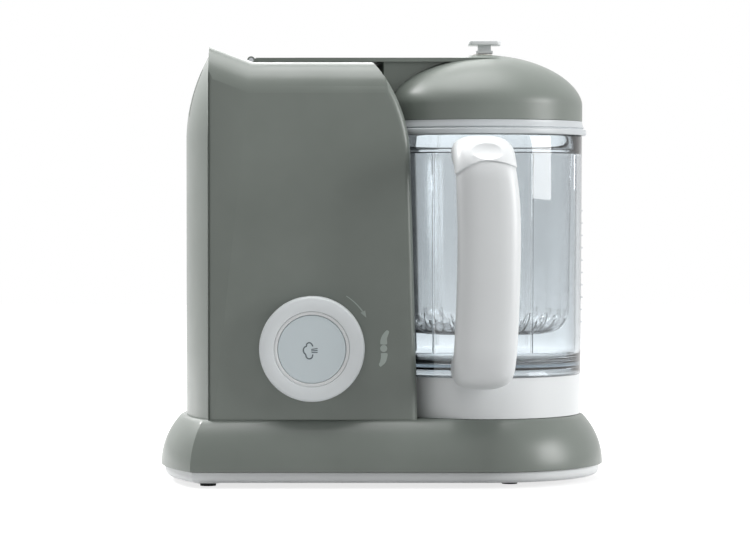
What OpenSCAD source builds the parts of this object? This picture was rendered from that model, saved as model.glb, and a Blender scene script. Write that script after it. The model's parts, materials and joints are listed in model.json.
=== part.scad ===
// Baby food maker: steamer and blender with a clear jug on a shared base.
// Shapes are drawn in the jug's frame: +X right, +Y back, +Z up, with the
// jug and drive axis at X = Y = 0 and the table at Z = 0. The last lines move
// each sub-part so that the origin is the centre of the overall footprint.

/* [Overall] */
// Length of the base from end to end
overall_length = 272; // [262:1:290]
// Reach of the handle in front of the jug's axis
handle_reach = 106; // [100:1:120]

/* [Base] */
// Half width of the base at its foot, and radius of its right end
base_r = 74; // [72:0.5:80]
// Half width of the base at its top edge
base_top_r = 61.2; // [61:0.1:64]
// Height of the base cover's lower edge
base_low_z = 9.7; // [8.5:0.1:11]
// Height of the base cover's top face
base_top_z = 40.3; // [39:0.1:44]
// Wall of the base cover
base_wall = 2.6; // [2:0.1:3]
// Thickness of the base cover's deck
deck_t = 3; // [2.5:0.1:4]
// Distance from the jug's axis back to the centre of the bulged left end
left_arc_x = 63; // [55:1:70]
// Height of the tray's underside
tray_low_z = 3.3; // [3:0.1:4]
// How far the tray stands in from the cover's foot
tray_inset = 2.3; // [2:0.1:4]
// Wall and floor of the tray
tray_wall = 2.6; // [2:0.1:3]
// Radius of a foot boss
foot_r = 7.8; // [6:0.1:9]
// Radius of a foot's rubber pad
pad_r = 4.8; // [4:0.1:5.5]

/* [Tower] */
// Half depth of the tower, from its middle to its flat front
tower_half = 60.8; // [60:0.1:61]
// Radius of the tower's bulged left side
tower_arc_r = 121.6; // [118:0.1:122]
// Wall of the tower shell
tower_wall = 2.6; // [2.2:0.1:3]
// Height of the tower's flat roof
roof_z = 254.3; // [252:0.1:256]
// Height of the ridge at the tower's left edge
ridge_z = 263.9; // [258:0.1:266]
// Start of the straight ramp up to the ridge, from the jug's axis
ramp_x = 144.5; // [143:0.5:150]
// Radius of the hollow that wraps round the jug
recess_r = 67; // [66:0.1:69]
// Radius of the rolled front and back top edges
roll_r = 22; // [12:1:22]
// Radius of the tower's right shoulder
shoulder_r = 89; // [85:0.5:90]
// Number of vent slots in the left side
vent_count = 5; // [3:1:7]
// Width of a vent slot
vent_w = 2.6; // [2:0.1:4]

/* [Boiler] */
// Distance of the boiler's axis from the jug's axis
boiler_x = 110; // [109:0.5:111]
// Outer radius of the boiler pot
pot_r = 33; // [30:0.5:34]
// Depth of the boiler pot
pot_h = 46; // [38:1:50]
// Wall of the boiler pot
pot_wall = 1.5; // [1:0.1:2]
// Radius of the filling mouth
mouth_r = 24; // [20:0.5:25]

/* [Motor] */
// Distance of the motor's axis from the drive axis
motor_x = 115; // [112:0.5:117]
// Radius of the motor's frame
motor_r = 29; // [27:0.5:30]
// Radius of the motor shaft
rotor_shaft_r = 3; // [2.5:0.1:3.5]
// Radius of the rotor core
rotor_r = 16; // [14:0.5:17]
// Radius of the motor pulley
small_pulley_r = 9; // [8:0.5:10]
// Radius of the driven pulley
large_pulley_r = 36; // [32:1:38]
// Width of the drive belt
belt_w = 9.4; // [8:0.1:10]
// Thickness of the drive belt
belt_t = 1.6; // [1.2:0.1:2]
// Radius of the drive shaft
drive_shaft_r = 4; // [3.5:0.1:4.5]

/* [Jug] */
// Outer radius of the jug at its rim
jug_r = 61.3; // [60:0.1:62]
// Outer radius of the jug at its foot
jug_foot_r = 60.6; // [59:0.1:61]
// Wall of the jug
jug_wall = 2.6; // [2:0.1:3]
// Height of the jug's rim
jug_rim_z = 210.5; // [205:0.5:214]
// Height of the seam between jug and collar
collar_top_z = 65; // [63:0.1:67]
// Outer radius of the collar
collar_r = 60.2; // [59:0.1:60.5]
// Height of the jug's inside floor
jug_floor_z = 72.4; // [72:0.1:74]
// Outer radius of the steam basket
basket_r = 55; // [50:0.5:56]
// Height of the basket's underside
basket_low_z = 89.7; // [89:0.1:96]
// Wall of the basket
basket_wall = 1.8; // [1.4:0.1:2]
// Radius of the blade shaft
blade_shaft_r = 4; // [3.5:0.1:4.5]
// Reach of a blade from the axis
blade_reach = 42; // [36:1:50]

/* [Handle] */
// Width of the handle
handle_w = 37.5; // [32:0.5:42]
// Thickness of the grip
grip_t = 20; // [17:0.5:24]
// Height of the handle's top
handle_top_z = 208.5; // [200:0.5:209.5]
// Height of the handle's foot
handle_low_z = 59.5; // [56:0.5:64]
// Radius of the handle's outer corners
handle_corner = 26; // [20:1:28]

/* [Lid] */
// Height of the lid ring's underside
ring_low_z = 210.9; // [210.8:0.1:211.5]
// Height of the seam between ring and dome
dome_low_z = 219.4; // [217:0.1:221]
// Height at which the dome starts to curve in
dome_spring_z = 229.6; // [224:0.1:231]
// Rise of the curved part of the dome
dome_rise = 31; // [26:0.1:32]
// Wall of the dome
dome_wall = 2.4; // [2:0.1:3]
// Half width of the arm at its round end
arm_half = 30; // [26:0.5:32]
// Half width of the arm at the hinge
arm_hinge_half = 28.5; // [25:0.5:30]
// Wall of the arm cover
arm_wall = 2.4; // [2:0.1:3]
// Radius of the hinge pin
pin_r = 1.5; // [1.2:0.1:1.6]

/* [Controls] */
// Distance of the knob from the jug's axis
knob_x = 103.7; // [100:0.5:106]
// Height of the knob's centre
knob_z = 83; // [80:0.5:88]
// Radius of the knob
knob_r = 31.3; // [28:0.1:34]
// How far the knob stands out of the front
knob_depth = 13; // [11:0.5:16]
// Radius of the steam button in the knob
button_r = 20.3; // [18:0.1:21]
// Travel of the steam button
button_travel = 3; // [1:0.5:3]
// Travel of the lid lock's slider
lock_travel = 6; // [3:0.5:7]

/* [Fits] */
// Radial clearance of a turning shaft in its bush
run_fit = 0.05; // [0.02:0.01:0.1]
// Radial clearance of pieces pushed together
push_fit = 0.02; // [0.01:0.01:0.05]
// Gap between shells that are seated on each other
seat_gap = 0.3; // [0.2:0.05:0.4]
// Gap between a moving piece and its surround
free_gap = 0.5; // [0.3:0.1:0.8]

/* [Hidden] */
$fn = 64;
eps = 0.01;

// place of the jug's axis in the overall footprint
jug_x = overall_length / 2 - base_r;
jug_y = (handle_reach - base_r) / 2;

// base
flare_d = base_r - base_top_r;
flare_h = base_top_z - base_low_z;
flare_r = (flare_d * flare_d + flare_h * flare_h) / (2 * flare_d);
left_extra = overall_length - base_r - left_arc_x - base_r;
deck_z = base_top_z - deck_t;
tray_r = base_r - tray_inset;
tray_floor_z = tray_low_z + tray_wall;
lip_r = base_r - base_wall - 0.5;
lip_z = base_low_z + 3.3;
foot_low_z = 1.6;
left_end = base_r - overall_length;
left_foot_x = left_end + 31.5;
left_screw_x = left_end + 66;
feet = [[left_foot_x, -50], [15, -38], [left_foot_x, 50], [15, 38]];
tray_screws_at = [[left_screw_x, -56], [38, -44], [left_screw_x, 56], [38, 44]];
tower_screws_at = [[-152, -55], [-62, -55], [-152, 55], [-62, 55]];
screw_r = 1.4;
screw_hole_r = 1.5;
boss_r = 4.5;
boss_low_z = tray_floor_z + 4;
tray_screw_low_z = tray_low_z + 1.6;
gland_x = -120;
gland_z = 20;
gland_r = 6;

// drive
housing_r = 12;
housing_flange_r = 22;
housing_low_z = base_top_z - 13;
housing_top_z = base_top_z + 9.7;
bush_seat_r = 8;
bush_len = 8;
pulley_low_z = 13;
pulley_h = belt_w + 0.6;
pulley_flange = 0.9;
pulley_flange_r = belt_t + 0.3;
belt_z = pulley_low_z + 0.3;
belt_gap = 0.08;
dog_low_z = housing_top_z + free_gap;
dog_h = 5;
dog_r = 9.2;
dog_w = 4;
cup_low_z = dog_low_z + 0.8;
cup_r = 13;
cup_floor_z = dog_low_z + dog_h + free_gap;
cup_top_z = cup_floor_z + 2.6;
bush_low_z = cup_top_z + free_gap;
nut_top_z = bush_low_z + 3.2;
bush_r = 6.9;
bush_flange_r = 11;
seal_t = 1;
bush_flange_z = jug_floor_z + seal_t;
bush_top_z = bush_flange_z + 4.2;
hub_low_z = bush_top_z + free_gap;
hub_top_z = hub_low_z + 9.8;
hub_r = 8;
blade_t = 1.6;
low_blade_tilt = 1;
high_blade_tilt = 3;

// jug
jug_inner_r = jug_foot_r - jug_wall - 0.3;
ledge_z = jug_rim_z - 10.8;
ledge_r = jug_r - jug_wall - 0.5;
rim_inner_r = ledge_r + 0.7;
jug_under_z = jug_floor_z - 2.6;
floor_corner = 6;
bayonet_r = 54;
bayonet_turn = [30, 150, 270];

// handle
jug_gap = 0.1;
grip_back = handle_reach - grip_t;
bridge_top_z = handle_top_z - 22.5;
bridge_low_z = handle_low_z + 25;
gap_corner = 9;
grip_cover_low = bridge_low_z + 14;
grip_cover_top = bridge_top_z - 14;

// tower
tower_step = 2.9;
tower_left = -(left_arc_x + left_extra + base_top_r - tower_step);
tower_arc_x = tower_left + tower_arc_r;
tower_right = -40.7;
lean_z = 207.5;
lean_r = 105;
ramp_start = 5;
crease_x = tower_arc_x - sqrt(tower_arc_r * tower_arc_r - tower_half * tower_half);
ridge_r = 4;
ramp_run = 20.5;
ramp_tilt = atan((ridge_z - roof_z) / (ramp_run + ramp_start));
shoulder_z = 195;
shoulder_x = -45.2 - shoulder_r;
shoulder_corner = 3.5;
post_r = 3.2;
post_hole_r = 1.25;
vent_low_z = 222;
vent_top_z = roof_z - 3.5;
vent_span = 40;
switch_rib_x = -169;
switch_rib_w = 18;
switch_rib_y = 5.4;

// hinge
hinge_x = -ramp_x + 3;
hinge_z = roof_z + 1.9;
knuckle_r = pin_r + 0.9;
trough_r = knuckle_r + 0.6;
knuckle_half = 17;
ear_w = 4;
ear_low = knuckle_half + free_gap;
ear_high = ear_low + ear_w;
pin_half = arm_hinge_half - arm_wall - 0.3;

// boiler
roof_under = roof_z - tower_wall;
pot_top_z = roof_z - 8.3;
pot_low_z = pot_top_z - pot_h;
flange_t = 1.2;
pot_flange_r = pot_r + 5;
ear_reach = 44;
ear_r = 5;
ear_angles = [45, 135, 225, 315];
neck_wall = 2.4;
bracket_t = 3;
bracket_z = pot_top_z - flange_t - bracket_t;
collar_plate_t = 2.4;
heater_r = 24;
heater_tube_r = 3.5;

// motor
plate_low_z = base_top_z + 4;
plate_t = 2;
frame_z = plate_low_z + plate_t;
frame_wall = 2.4;
stator_z = frame_z + 17.7;
stator_h = 36;
stator_top_z = stator_z + stator_h;
winding_h = 4.5;
end_top_h = 18;
end_plate_t = 3;
bearing_hub_r = 8;
air_gap = 0.6;
plate_edge = 8;
motor_screw_x = motor_r + 5;
motor_screw_y = motor_r + 1;
motor_screws_at = [for (x = [1, -1], y = [1, -1]) [x * motor_screw_x, y * motor_screw_y]];
motor_screw_r = 1.8;
grommet_r = 6;
commutator_r = 9.5;
commutator_z = stator_top_z + 4;
commutator_h = 8;
brush_z = commutator_z + 1.2;
brush_w = 8;
brush_h = 5.6;
fan_r = 24.5;

// lid
ring_band_r = jug_r + 2.5;
plug_r = rim_inner_r - 1;
plug_wall = 2.4;
plug_low_z = jug_rim_z + seat_gap;
dome_power = 1.75;
dome_top_z = dome_spring_z + dome_rise;
nozzle_low_z = dome_low_z + 4.6;
arm_low_z = roof_z + 1;
arm_plate_t = 2.4;
arm_round_x = -5.7;
arm_end_x = arm_round_x + arm_half;
neck_reach = recess_r - 1.5;
neck_low_z = 237;
neck_half = 24;
nozzle_r = 6;
nozzle_bore_r = 4;
duct_half = 7;
steam_hole_r = 5;
pocket_x = -2;
lock_l = 20;
lock_w = 17;
pocket_l = lock_l + lock_travel + 2 * free_gap;
lock_x = pocket_x + lock_travel / 2;
pocket_floor = 266.2;
stem_l = 8;
stem_w = 5;

// controls
front_y = -tower_half;
knob_web = 2.4;
knob_hub_r = 6;
knob_back = 0.3;
button_stem_r = 3.15;
light_ring_w = 2;
light_ring_out = button_r + 0.1 + light_ring_w;
board_y = front_y + 21.2;
board_t = 1.6;
board_w = 64;
board_h = 64;
board_x = -knob_x;
board_screw_pitch = 54;
switch_size = 30;
switch_depth = 10.4;
switch_front = board_y - switch_depth;
hub_end = switch_front + 7;
stem_end = switch_front + 7.6;
mark_t = 0.4;
mark_r = 37.3;
mark_w = 1.1;

// ---- shared shapes ----

function arc(x, z, r, from, to, n) =
  [for (i = [0:n]) [x + r * cos(from + (to - from) * i / n), z + r * sin(from + (to - from) * i / n)]];

// a list of points without its first, where two curves share a point
function rest(points) = [for (i = [1:len(points) - 1]) points[i]];

// half width of the flared base at a height
function flare(z) = base_r - flare_r + sqrt(flare_r * flare_r - pow(max(z, base_low_z) - base_low_z, 2));

function flare_profile(inset, low, top) = concat(
  [[0, low]],
  [for (i = [0:10]) [flare(low + (top - low) * i / 10) - inset, low + (top - low) * i / 10]],
  [[0, top]]
);

function widen(profile, d) = [for (p = profile) [p[0] == 0 ? 0 : p[0] + d, p[1]]];

function both_sides(profile) =
  concat(profile, [for (i = [len(profile) - 1:-1:0]) [-profile[i][0], profile[i][1]]]);

module from_jug() {
  translate([jug_x, jug_y, 0]) children();
}

// solid with the base's footprint: straight sides, round right end, bulged left end
module footprint(profile) {
  intersection() {
    union() {
      rotate_extrude($fn = 128) polygon(profile);
      rotate([90, 0, -90]) linear_extrude(overall_length) polygon(both_sides(profile));
    }
    union() {
      translate([-left_arc_x, 0, 0]) rotate_extrude($fn = 128) polygon(widen(profile, left_extra));
      translate([-left_arc_x, -overall_length / 2, 0]) cube([overall_length, overall_length, base_top_z + 5]);
    }
  }
}

module tube(r, bore, low, top) {
  translate([0, 0, low]) difference() {
    cylinder(r = r, h = top - low);
    translate([0, 0, -1]) cylinder(r = bore, h = top - low + 2);
  }
}

module rod(r, low, top) {
  translate([0, 0, low]) cylinder(r = r, h = top - low);
}

// rod along +Y between two depths
module rod_y(r, low, top) {
  translate([0, low, 0]) rotate([-90, 0, 0]) cylinder(r = r, h = top - low);
}

// screw standing on its head, pointing up
module screw(head_r, head_h, r, length) {
  cylinder(r = head_r, h = head_h);
  cylinder(r = r, h = head_h + length);
}

module at_all(points) {
  for (p = points) translate([p[0], p[1], 0]) children();
}

module rounded_plate(l, w, r, h) {
  union() {
    translate([-l / 2 + r, -w / 2, 0]) cube([l - 2 * r, w, h]);
    translate([-l / 2, -w / 2 + r, 0]) cube([l, w - 2 * r, h]);
    for (x = [-1, 1], y = [-1, 1]) translate([x * (l / 2 - r), y * (w / 2 - r), 0]) cylinder(r = r, h = h);
  }
}

// ---- base ----

module base_cover() {
  from_jug() color("#8f9892") difference() {
    union() {
      difference() {
        footprint(flare_profile(0, base_low_z, base_top_z));
        footprint(flare_profile(base_wall, base_low_z - 1, deck_z));
      }
      at_all(tray_screws_at) rod(boss_r, boss_low_z + 0.2, deck_z + eps);
      at_motor() at_all(motor_screws_at) rod(boss_r, deck_z - 11, deck_z + eps);
      tube(bayonet_r - 3, bayonet_r - 6, base_top_z - eps, base_top_z + 10.5);
      for (a = bayonet_turn) rotate(a) bayonet_lug(bayonet_r - 3.5, bayonet_r + 1.2, base_top_z + 7.5, 3);
    }
    rod(housing_r + push_fit, deck_z - 1, base_top_z + 1);
    for (a = [90, 210, 330]) rotate(a) translate([17, 0, 0]) rod(screw_hole_r, deck_z - 1, base_top_z + 1);
    at_motor() rod(14, deck_z - 1, base_top_z + 1);
    at_all(tray_screws_at) rod(screw_hole_r, boss_low_z, deck_z - 2);
    at_all(tower_screws_at) rod(screw_hole_r + 0.2, deck_z - 1, base_top_z + 1);
    at_motor() at_all(motor_screws_at) rod(motor_screw_r + 0.1, deck_z - 9, base_top_z + 1);
    translate([gland_x, 0, gland_z]) rod_y(gland_r + push_fit, base_r - 12, base_r + 2);
    translate([-155, 20, 0]) rod(5, deck_z - 1, base_top_z + 1);
  }
}

module at_motor() {
  translate([-motor_x, 0, 0]) children();
}

// one bayonet lug: a block between two radii, 16 degrees wide
module bayonet_lug(inner, outer, low, h) {
  intersection() {
    tube(outer, inner, low, low + h);
    translate([0, -outer * tan(8), low - 1]) cube([outer * 2, 2 * outer * tan(8), h + 2]);
  }
}

function tray_profile(inset, low) = concat(
  [[0, low], [tray_r - 2.4 - inset, low], [tray_r - 0.9 - inset, low + 0.7],
   [tray_r - 0.2 - inset, low + 2.2],
   [tray_r - inset, base_low_z]]
);

module base_tray() {
  from_jug() color("white") difference() {
    union() {
      difference() {
        union() {
          footprint(concat(tray_profile(0, tray_low_z), [[0, base_low_z]]));
          footprint([[0, base_low_z - 1], [lip_r, base_low_z - 1], [lip_r, lip_z], [0, lip_z]]);
        }
        footprint([
          [0, tray_floor_z], [lip_r - tray_wall, tray_floor_z], [lip_r - tray_wall, lip_z + 1], [0, lip_z + 1]
        ]);
      }
      at_all(feet) rod(foot_r, foot_low_z, tray_floor_z + 3);
      at_all(tray_screws_at) rod(boss_r + 1.5, tray_floor_z - eps, boss_low_z);
    }
    at_all(feet) rod(pad_r / 2 + push_fit, foot_low_z - 1, foot_low_z + 4);
    at_all(tray_screws_at) rod(screw_hole_r + 0.2, tray_low_z - 1, boss_low_z + 1);
    at_all(tray_screws_at) rod(3.6, tray_low_z - 1, tray_screw_low_z + 2);
  }
}

module foot_pads() {
  from_jug() color("#222222") at_all(feet) {
    rod(pad_r, 0, foot_low_z);
    rod(pad_r / 2, foot_low_z - eps, foot_low_z + 3.6);
  }
}

module case_screws() {
  from_jug() color("#9a9a9a") {
    at_all(tray_screws_at) translate([0, 0, tray_screw_low_z]) screw(3.2, 2, screw_r, 22);
    at_all(tower_screws_at) translate([0, 0, deck_z - 2.2]) screw(3.2, 2.2, screw_r, 15);
    for (a = [90, 210, 330]) rotate(a) translate([17, 0, base_top_z + 5.2]) mirror([0, 0, 1])
      screw(2.8, 2.2, screw_r, 9);
  }
}

module cord_gland() {
  from_jug() color("#333333") translate([gland_x, 0, gland_z]) difference() {
    union() {
      rod_y(gland_r, base_r - 9, base_r - 0.2);
      rod_y(gland_r + 1.8, base_r - 9.6, base_r - 7.2);
    }
    rod_y(3.2, base_r - 12, base_r + 1);
  }
}

// ---- drive ----

module spindle_housing() {
  from_jug() color("#b8b8b0") difference() {
    union() {
      rod(housing_r, housing_low_z, housing_top_z);
      rod(housing_flange_r, base_top_z, base_top_z + 3);
    }
    rod(bush_seat_r, housing_low_z - 1, housing_top_z + 1);
    for (a = [90, 210, 330])
      rotate(a) translate([17, 0, 0]) rod(screw_hole_r, base_top_z - 1, base_top_z + 4);
  }
}

module spindle_bearings() {
  from_jug() color("#b08d57") {
    tube(bush_seat_r - push_fit, drive_shaft_r + run_fit, housing_low_z, housing_low_z + bush_len);
    tube(bush_seat_r - push_fit, drive_shaft_r + run_fit, housing_top_z - bush_len, housing_top_z);
  }
}

// closed loop round both pulleys at given radii
function belt_loop(big, small) =
  let (lean = acos((big - small) / motor_x))
  concat(arc(0, 0, big, lean - 180, 180 - lean, 48), arc(-motor_x, 0, small, 180 - lean, 180 + lean, 20));

module drive_belt() {
  from_jug() color("#2b2b2b") translate([0, 0, belt_z]) linear_extrude(belt_w) difference() {
    polygon(belt_loop(large_pulley_r + belt_gap + belt_t, small_pulley_r + belt_gap + belt_t));
    polygon(belt_loop(large_pulley_r + belt_gap, small_pulley_r + belt_gap));
  }
}

// pulley with a flange at each edge
module pulley(r, bore, web) {
  difference() {
    union() {
      rod(r, pulley_low_z, pulley_low_z + pulley_h);
      rod(r + pulley_flange_r, pulley_low_z - pulley_flange, pulley_low_z);
      rod(r + pulley_flange_r, pulley_low_z + pulley_h, pulley_low_z + pulley_h + pulley_flange);
    }
    rod(bore, pulley_low_z - 2, pulley_low_z + pulley_h + 2);
    if (web) {
      tube(r - 4, bore + 6, pulley_low_z - 2, pulley_low_z + pulley_h / 2 - 1.5);
      tube(r - 4, bore + 6, pulley_low_z + pulley_h / 2 + 1.5, pulley_low_z + pulley_h + 2);
    }
  }
}

module driven_pulley() {
  from_jug() color("#3c3c40") pulley(large_pulley_r, drive_shaft_r + push_fit, true);
}

module motor_pulley() {
  from_jug() color("#3c3c40") at_motor() pulley(small_pulley_r, rotor_shaft_r + push_fit, false);
}

module drive_shaft() {
  from_jug() color("#c8c8cc") rod(drive_shaft_r, pulley_low_z - 3, dog_low_z + dog_h - 0.6);
}

module dogs(grow) {
  union() {
    rod(dog_r - 1.6 + grow, 0, dog_h);
    for (a = [0, 60, 120]) rotate(a) translate([-dog_r - grow, -dog_w / 2 - grow, 0])
      cube([2 * (dog_r + grow), dog_w + 2 * grow, dog_h - 0.4]);
  }
}

module drive_coupling() {
  from_jug() color("#e4e4e0") translate([0, 0, dog_low_z]) difference() {
    dogs(0);
    rod(drive_shaft_r + push_fit, -1, dog_h - 0.6);
  }
}

module blade_coupling() {
  from_jug() color("#e4e4e0") difference() {
    rod(cup_r, cup_low_z, cup_top_z);
    translate([0, 0, cup_floor_z - dog_h]) dogs(free_gap);
    rod(dog_r + free_gap + 0.4, cup_low_z - 1, cup_low_z + 0.6);
    rod(blade_shaft_r + push_fit, cup_floor_z - 1, cup_top_z + 1);
  }
}

module blade_shaft() {
  from_jug() color("#c8c8cc") rod(blade_shaft_r, cup_floor_z, hub_top_z - 1.4);
}

// one curved blade lying flat, pointing along +X
module blade() {
  difference() {
    linear_extrude(blade_t) polygon(concat(
      [[hub_r - 2, -6]],
      [for (i = [0:6]) [hub_r + (blade_reach - hub_r) * i / 6, -6 + 5 * pow(i / 6, 2)]],
      [for (i = [6:-1:0]) [hub_r + (blade_reach - hub_r - 2) * i / 6, 7 - 6 * pow(i / 6, 3)]],
      [[hub_r - 2, 7]]
    ));
    translate([0, 0, -1]) cylinder(r = blade_shaft_r + 1, h = 6);
  }
}

module blades() {
  from_jug() color("#c9ccd0") difference() {
    union() {
      rod(hub_r, hub_low_z, hub_top_z);
      translate([0, 0, hub_low_z + 1]) rotate([0, 0, -90]) rotate([0, low_blade_tilt, 0]) blade();
      translate([0, 0, hub_low_z + 5.5]) rotate([0, 0, 90]) rotate([0, -high_blade_tilt, 0]) blade();
    }
    rod(blade_shaft_r + push_fit, hub_low_z - 1, hub_top_z - 1.4);
  }
}

// ---- tower ----

// where the ramp's edge circle touches both the leaning side and the ramp
ramp_foot = [-ramp_x + ramp_start, roof_z];
lean_over = 0.3;
lean_centre = [tower_left - lean_over + lean_r, lean_z];
edge_start = [ramp_foot[0] - ridge_r * sin(ramp_tilt), roof_z - ridge_r * cos(ramp_tilt)];
edge_from_lean = edge_start - lean_centre;
edge_b = edge_from_lean[1] * sin(ramp_tilt) - edge_from_lean[0] * cos(ramp_tilt);
edge_c = edge_from_lean * edge_from_lean - pow(lean_r - ridge_r, 2);
edge_t = -edge_b + sqrt(edge_b * edge_b - edge_c);
edge_centre = [edge_start[0] - edge_t * cos(ramp_tilt), edge_start[1] + edge_t * sin(ramp_tilt)];
edge_from = atan2(edge_centre[1] - lean_centre[1], edge_centre[0] - lean_centre[0]);
corner_z = roof_z - shoulder_corner;
corner_x = shoulder_x + sqrt(pow(shoulder_r - shoulder_corner, 2) - pow(corner_z - shoulder_z, 2));
corner_to = atan2(corner_z - shoulder_z, corner_x - shoulder_x);

ramp_roll_r = roll_r + 0.6;
roll_over = 0.15;
roof_lap = 8;
crease_step = 0.4;

// outline of the tower seen from the front, drawn in by s
function tower_outline(s, low) = concat(
  [[tower_left - lean_over + s, low]],
  arc(lean_centre[0], lean_centre[1], lean_r - s, 180, edge_from, 12),
  rest(arc(edge_centre[0], edge_centre[1], ridge_r - s, edge_from, 90 - ramp_tilt, 6)),
  [[ramp_foot[0] - s * tan(ramp_tilt / 2), roof_z - s]],
  arc(corner_x, corner_z, shoulder_corner - s, 90, corner_to, 5),
  rest(arc(shoulder_x, shoulder_z, shoulder_r - s, corner_to, 0, 16)),
  [[tower_right - s, low]]
);

// cross-section with rolled top edges, top at z = 0, a little wider than the walls it is cut by
function rolled_section(s, depth, roll) = both_sides(concat(
  [[tower_half + roll_over - s, -depth]],
  arc(tower_half + roll_over - roll, -roll, roll - s, 0, 90, 12)
));

module along_x(length) {
  rotate([90, 0, 90]) linear_extrude(length) children();
}

// the bulged left side and the straight part behind its creases, drawn in by s
module tower_sides(s, low) {
  translate([tower_arc_x, 0, 0]) rotate_extrude($fn = 128) polygon(concat(
    [[0, low], [tower_arc_r - s, low]],
    arc(tower_arc_r - lean_r, lean_z, lean_r - s, 0, 42, 14),
    [[0, lean_z + (lean_r - s) * sin(42)]]
  ));
  translate([crease_x + crease_step + s, -tower_half - 2, low]) cube([-crease_x, 2 * tower_half + 4, ridge_z]);
}

// the tower drawn in by s, with its level roof from roof_x to the jug; its children fill in the rest
module tower_body(s, low, roof_x) {
  difference() {
    intersection() {
      translate([0, tower_half - s, 0]) rotate([90, 0, 0]) linear_extrude(2 * (tower_half - s))
        polygon(tower_outline(s, low));
      tower_sides(s, low - 1);
      union() {
        translate([roof_x, 0, roof_z]) along_x(-roof_x) polygon(rolled_section(s, roof_z, roll_r));
        children();
      }
    }
    rod(recess_r + s, low - 2, roof_z + 1);
  }
}

module ridge_outside() {
  translate([ramp_foot[0], 0, roof_z]) rotate([0, ramp_tilt, 0]) translate([-70, 0, 0])
    along_x(270) polygon(rolled_section(0, roof_z, ramp_roll_r));
}

module ridge_inside() {
  half = tower_half - roll_r - 2;
  translate([tower_left, -half, base_top_z]) cube([ramp_foot[0] - tower_left, 2 * half, ridge_z]);
}

module at_boiler() {
  translate([-boiler_x, 0, 0]) children();
}

module at_ears() {
  for (a = ear_angles) rotate(a) translate([ear_reach, 0, 0]) children();
}

module at_knob() {
  translate([-knob_x, 0, knob_z]) children();
}

module at_board_screws() {
  for (x = [-1, 1], z = [-1, 1])
    translate([board_x + x * board_screw_pitch / 2, 0, knob_z + z * board_screw_pitch / 2]) children();
}

module tower_shell() {
  from_jug() color("#7d8480") difference() {
    union() {
      difference() {
        tower_body(0, base_top_z, ramp_foot[0] - roof_lap) ridge_outside();
        tower_body(tower_wall, base_top_z - 1, tower_left - 5) ridge_inside();
        // trough that gives the hinge room
        translate([hinge_x, 0, hinge_z]) rod_y(trough_r, -pin_half - 0.6, pin_half + 0.6);
      }
      at_all(tower_screws_at) rod(boss_r, base_top_z, base_top_z + 18);
      at_board_screws() rod_y(post_r, front_y + tower_wall - eps, board_y);
      at_boiler() at_ears() rod(boss_r, pot_top_z + collar_plate_t, roof_under + eps);
      for (y = [-1, 1]) translate([hinge_x, y * (ear_low + ear_w / 2), 0]) {
        translate([0, 0, hinge_z]) rod_y(knuckle_r, -ear_w / 2, ear_w / 2);
        translate([-knuckle_r, -ear_w / 2, roof_under + 0.4])
          cube([2 * knuckle_r, ear_w, hinge_z - roof_under - 0.4]);
      }
      translate([switch_rib_x, switch_rib_y, roof_under - 16]) cube([switch_rib_w, 2.4, 20.5]);
    }
    at_boiler() rod(mouth_r + neck_wall + push_fit, roof_under - 1, roof_z + 1);
    at_knob() rod_y(knob_hub_r + 1, front_y - 1, front_y + tower_wall + 1);
    at_all(tower_screws_at) rod(screw_hole_r, base_top_z - 1, base_top_z + 16);
    at_board_screws() rod_y(post_hole_r + 0.05, board_y - 12, board_y + 1);
    at_boiler() at_ears() rod(screw_hole_r, pot_top_z, roof_under - 0.4);
    translate([hinge_x, 0, hinge_z]) rod_y(pin_r + push_fit, -pin_half, pin_half);
    for (i = [0:vent_count - 1])
      translate([tower_left - 5, vent_span * (i / max(vent_count - 1, 1) - 0.5) - vent_w / 2, vent_low_z])
        cube([24, vent_w, vent_top_z - vent_low_z]);
  }
}

module front_marks() {
  from_jug() color("#a9b0ab") at_knob() translate([0, front_y, 0]) rotate([90, 0, 0]) linear_extrude(mark_t) {
    // arrow that points clockwise
    difference() {
      intersection() {
        circle(r = mark_r + mark_w / 2);
        polygon([[0, 0], 60 * [cos(57), sin(57)], 60 * [cos(44), sin(44)], 60 * [cos(31), sin(31)]]);
      }
      circle(r = mark_r - mark_w / 2);
    }
    polygon([
      mark_r * [cos(26), sin(26)],
      (mark_r + 2.2) * [cos(31.5), sin(31.5)], (mark_r - 2.2) * [cos(31.5), sin(31.5)]
    ]);
    // blade sign
    translate([mark_r + 5.5, 0]) difference() {
      union() {
        circle(r = 2.2);
        polygon([
          [-1.4, 0], [-3, 4], [-2.2, 8.5], [1, 10.9], [0.2, 6],
          [1.4, 0], [3, -4], [2.2, -8.5], [-1, -10.9], [-0.2, -6]
        ]);
      }
      circle(r = 1);
    }
  }
}

module hinge_pin() {
  from_jug() color("#c8c8cc") translate([hinge_x, 0, hinge_z]) rod_y(pin_r, -pin_half, pin_half);
}

module boiler_pot() {
  from_jug() color("#d4d6d8") at_boiler() {
    difference() {
      union() {
        rod(pot_r, pot_low_z, pot_top_z);
        rod(pot_flange_r, pot_top_z - flange_t, pot_top_z);
      }
      rod(pot_r - pot_wall, pot_low_z + pot_wall, pot_top_z + 1);
    }
  }
}

// ring with four screw ears
module eared_ring(r, bore, low, top, hole) {
  difference() {
    union() {
      rod(r, low, top);
      for (a = ear_angles) rotate(a) {
        translate([ear_reach, 0, 0]) rod(ear_r, low, top);
        translate([r - 6, -ear_r, low]) cube([ear_reach - r + 6, 2 * ear_r, top - low]);
      }
    }
    rod(bore, low - 1, top + 1);
    at_ears() rod(hole, low - 1, top + 1);
  }
}

module boiler_collar() {
  from_jug() color("#dfe2e0") at_boiler() {
    eared_ring(pot_flange_r, mouth_r, pot_top_z, pot_top_z + collar_plate_t, screw_hole_r);
    tube(mouth_r + neck_wall, mouth_r, pot_top_z + collar_plate_t - eps, roof_z - 0.3);
  }
}

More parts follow.
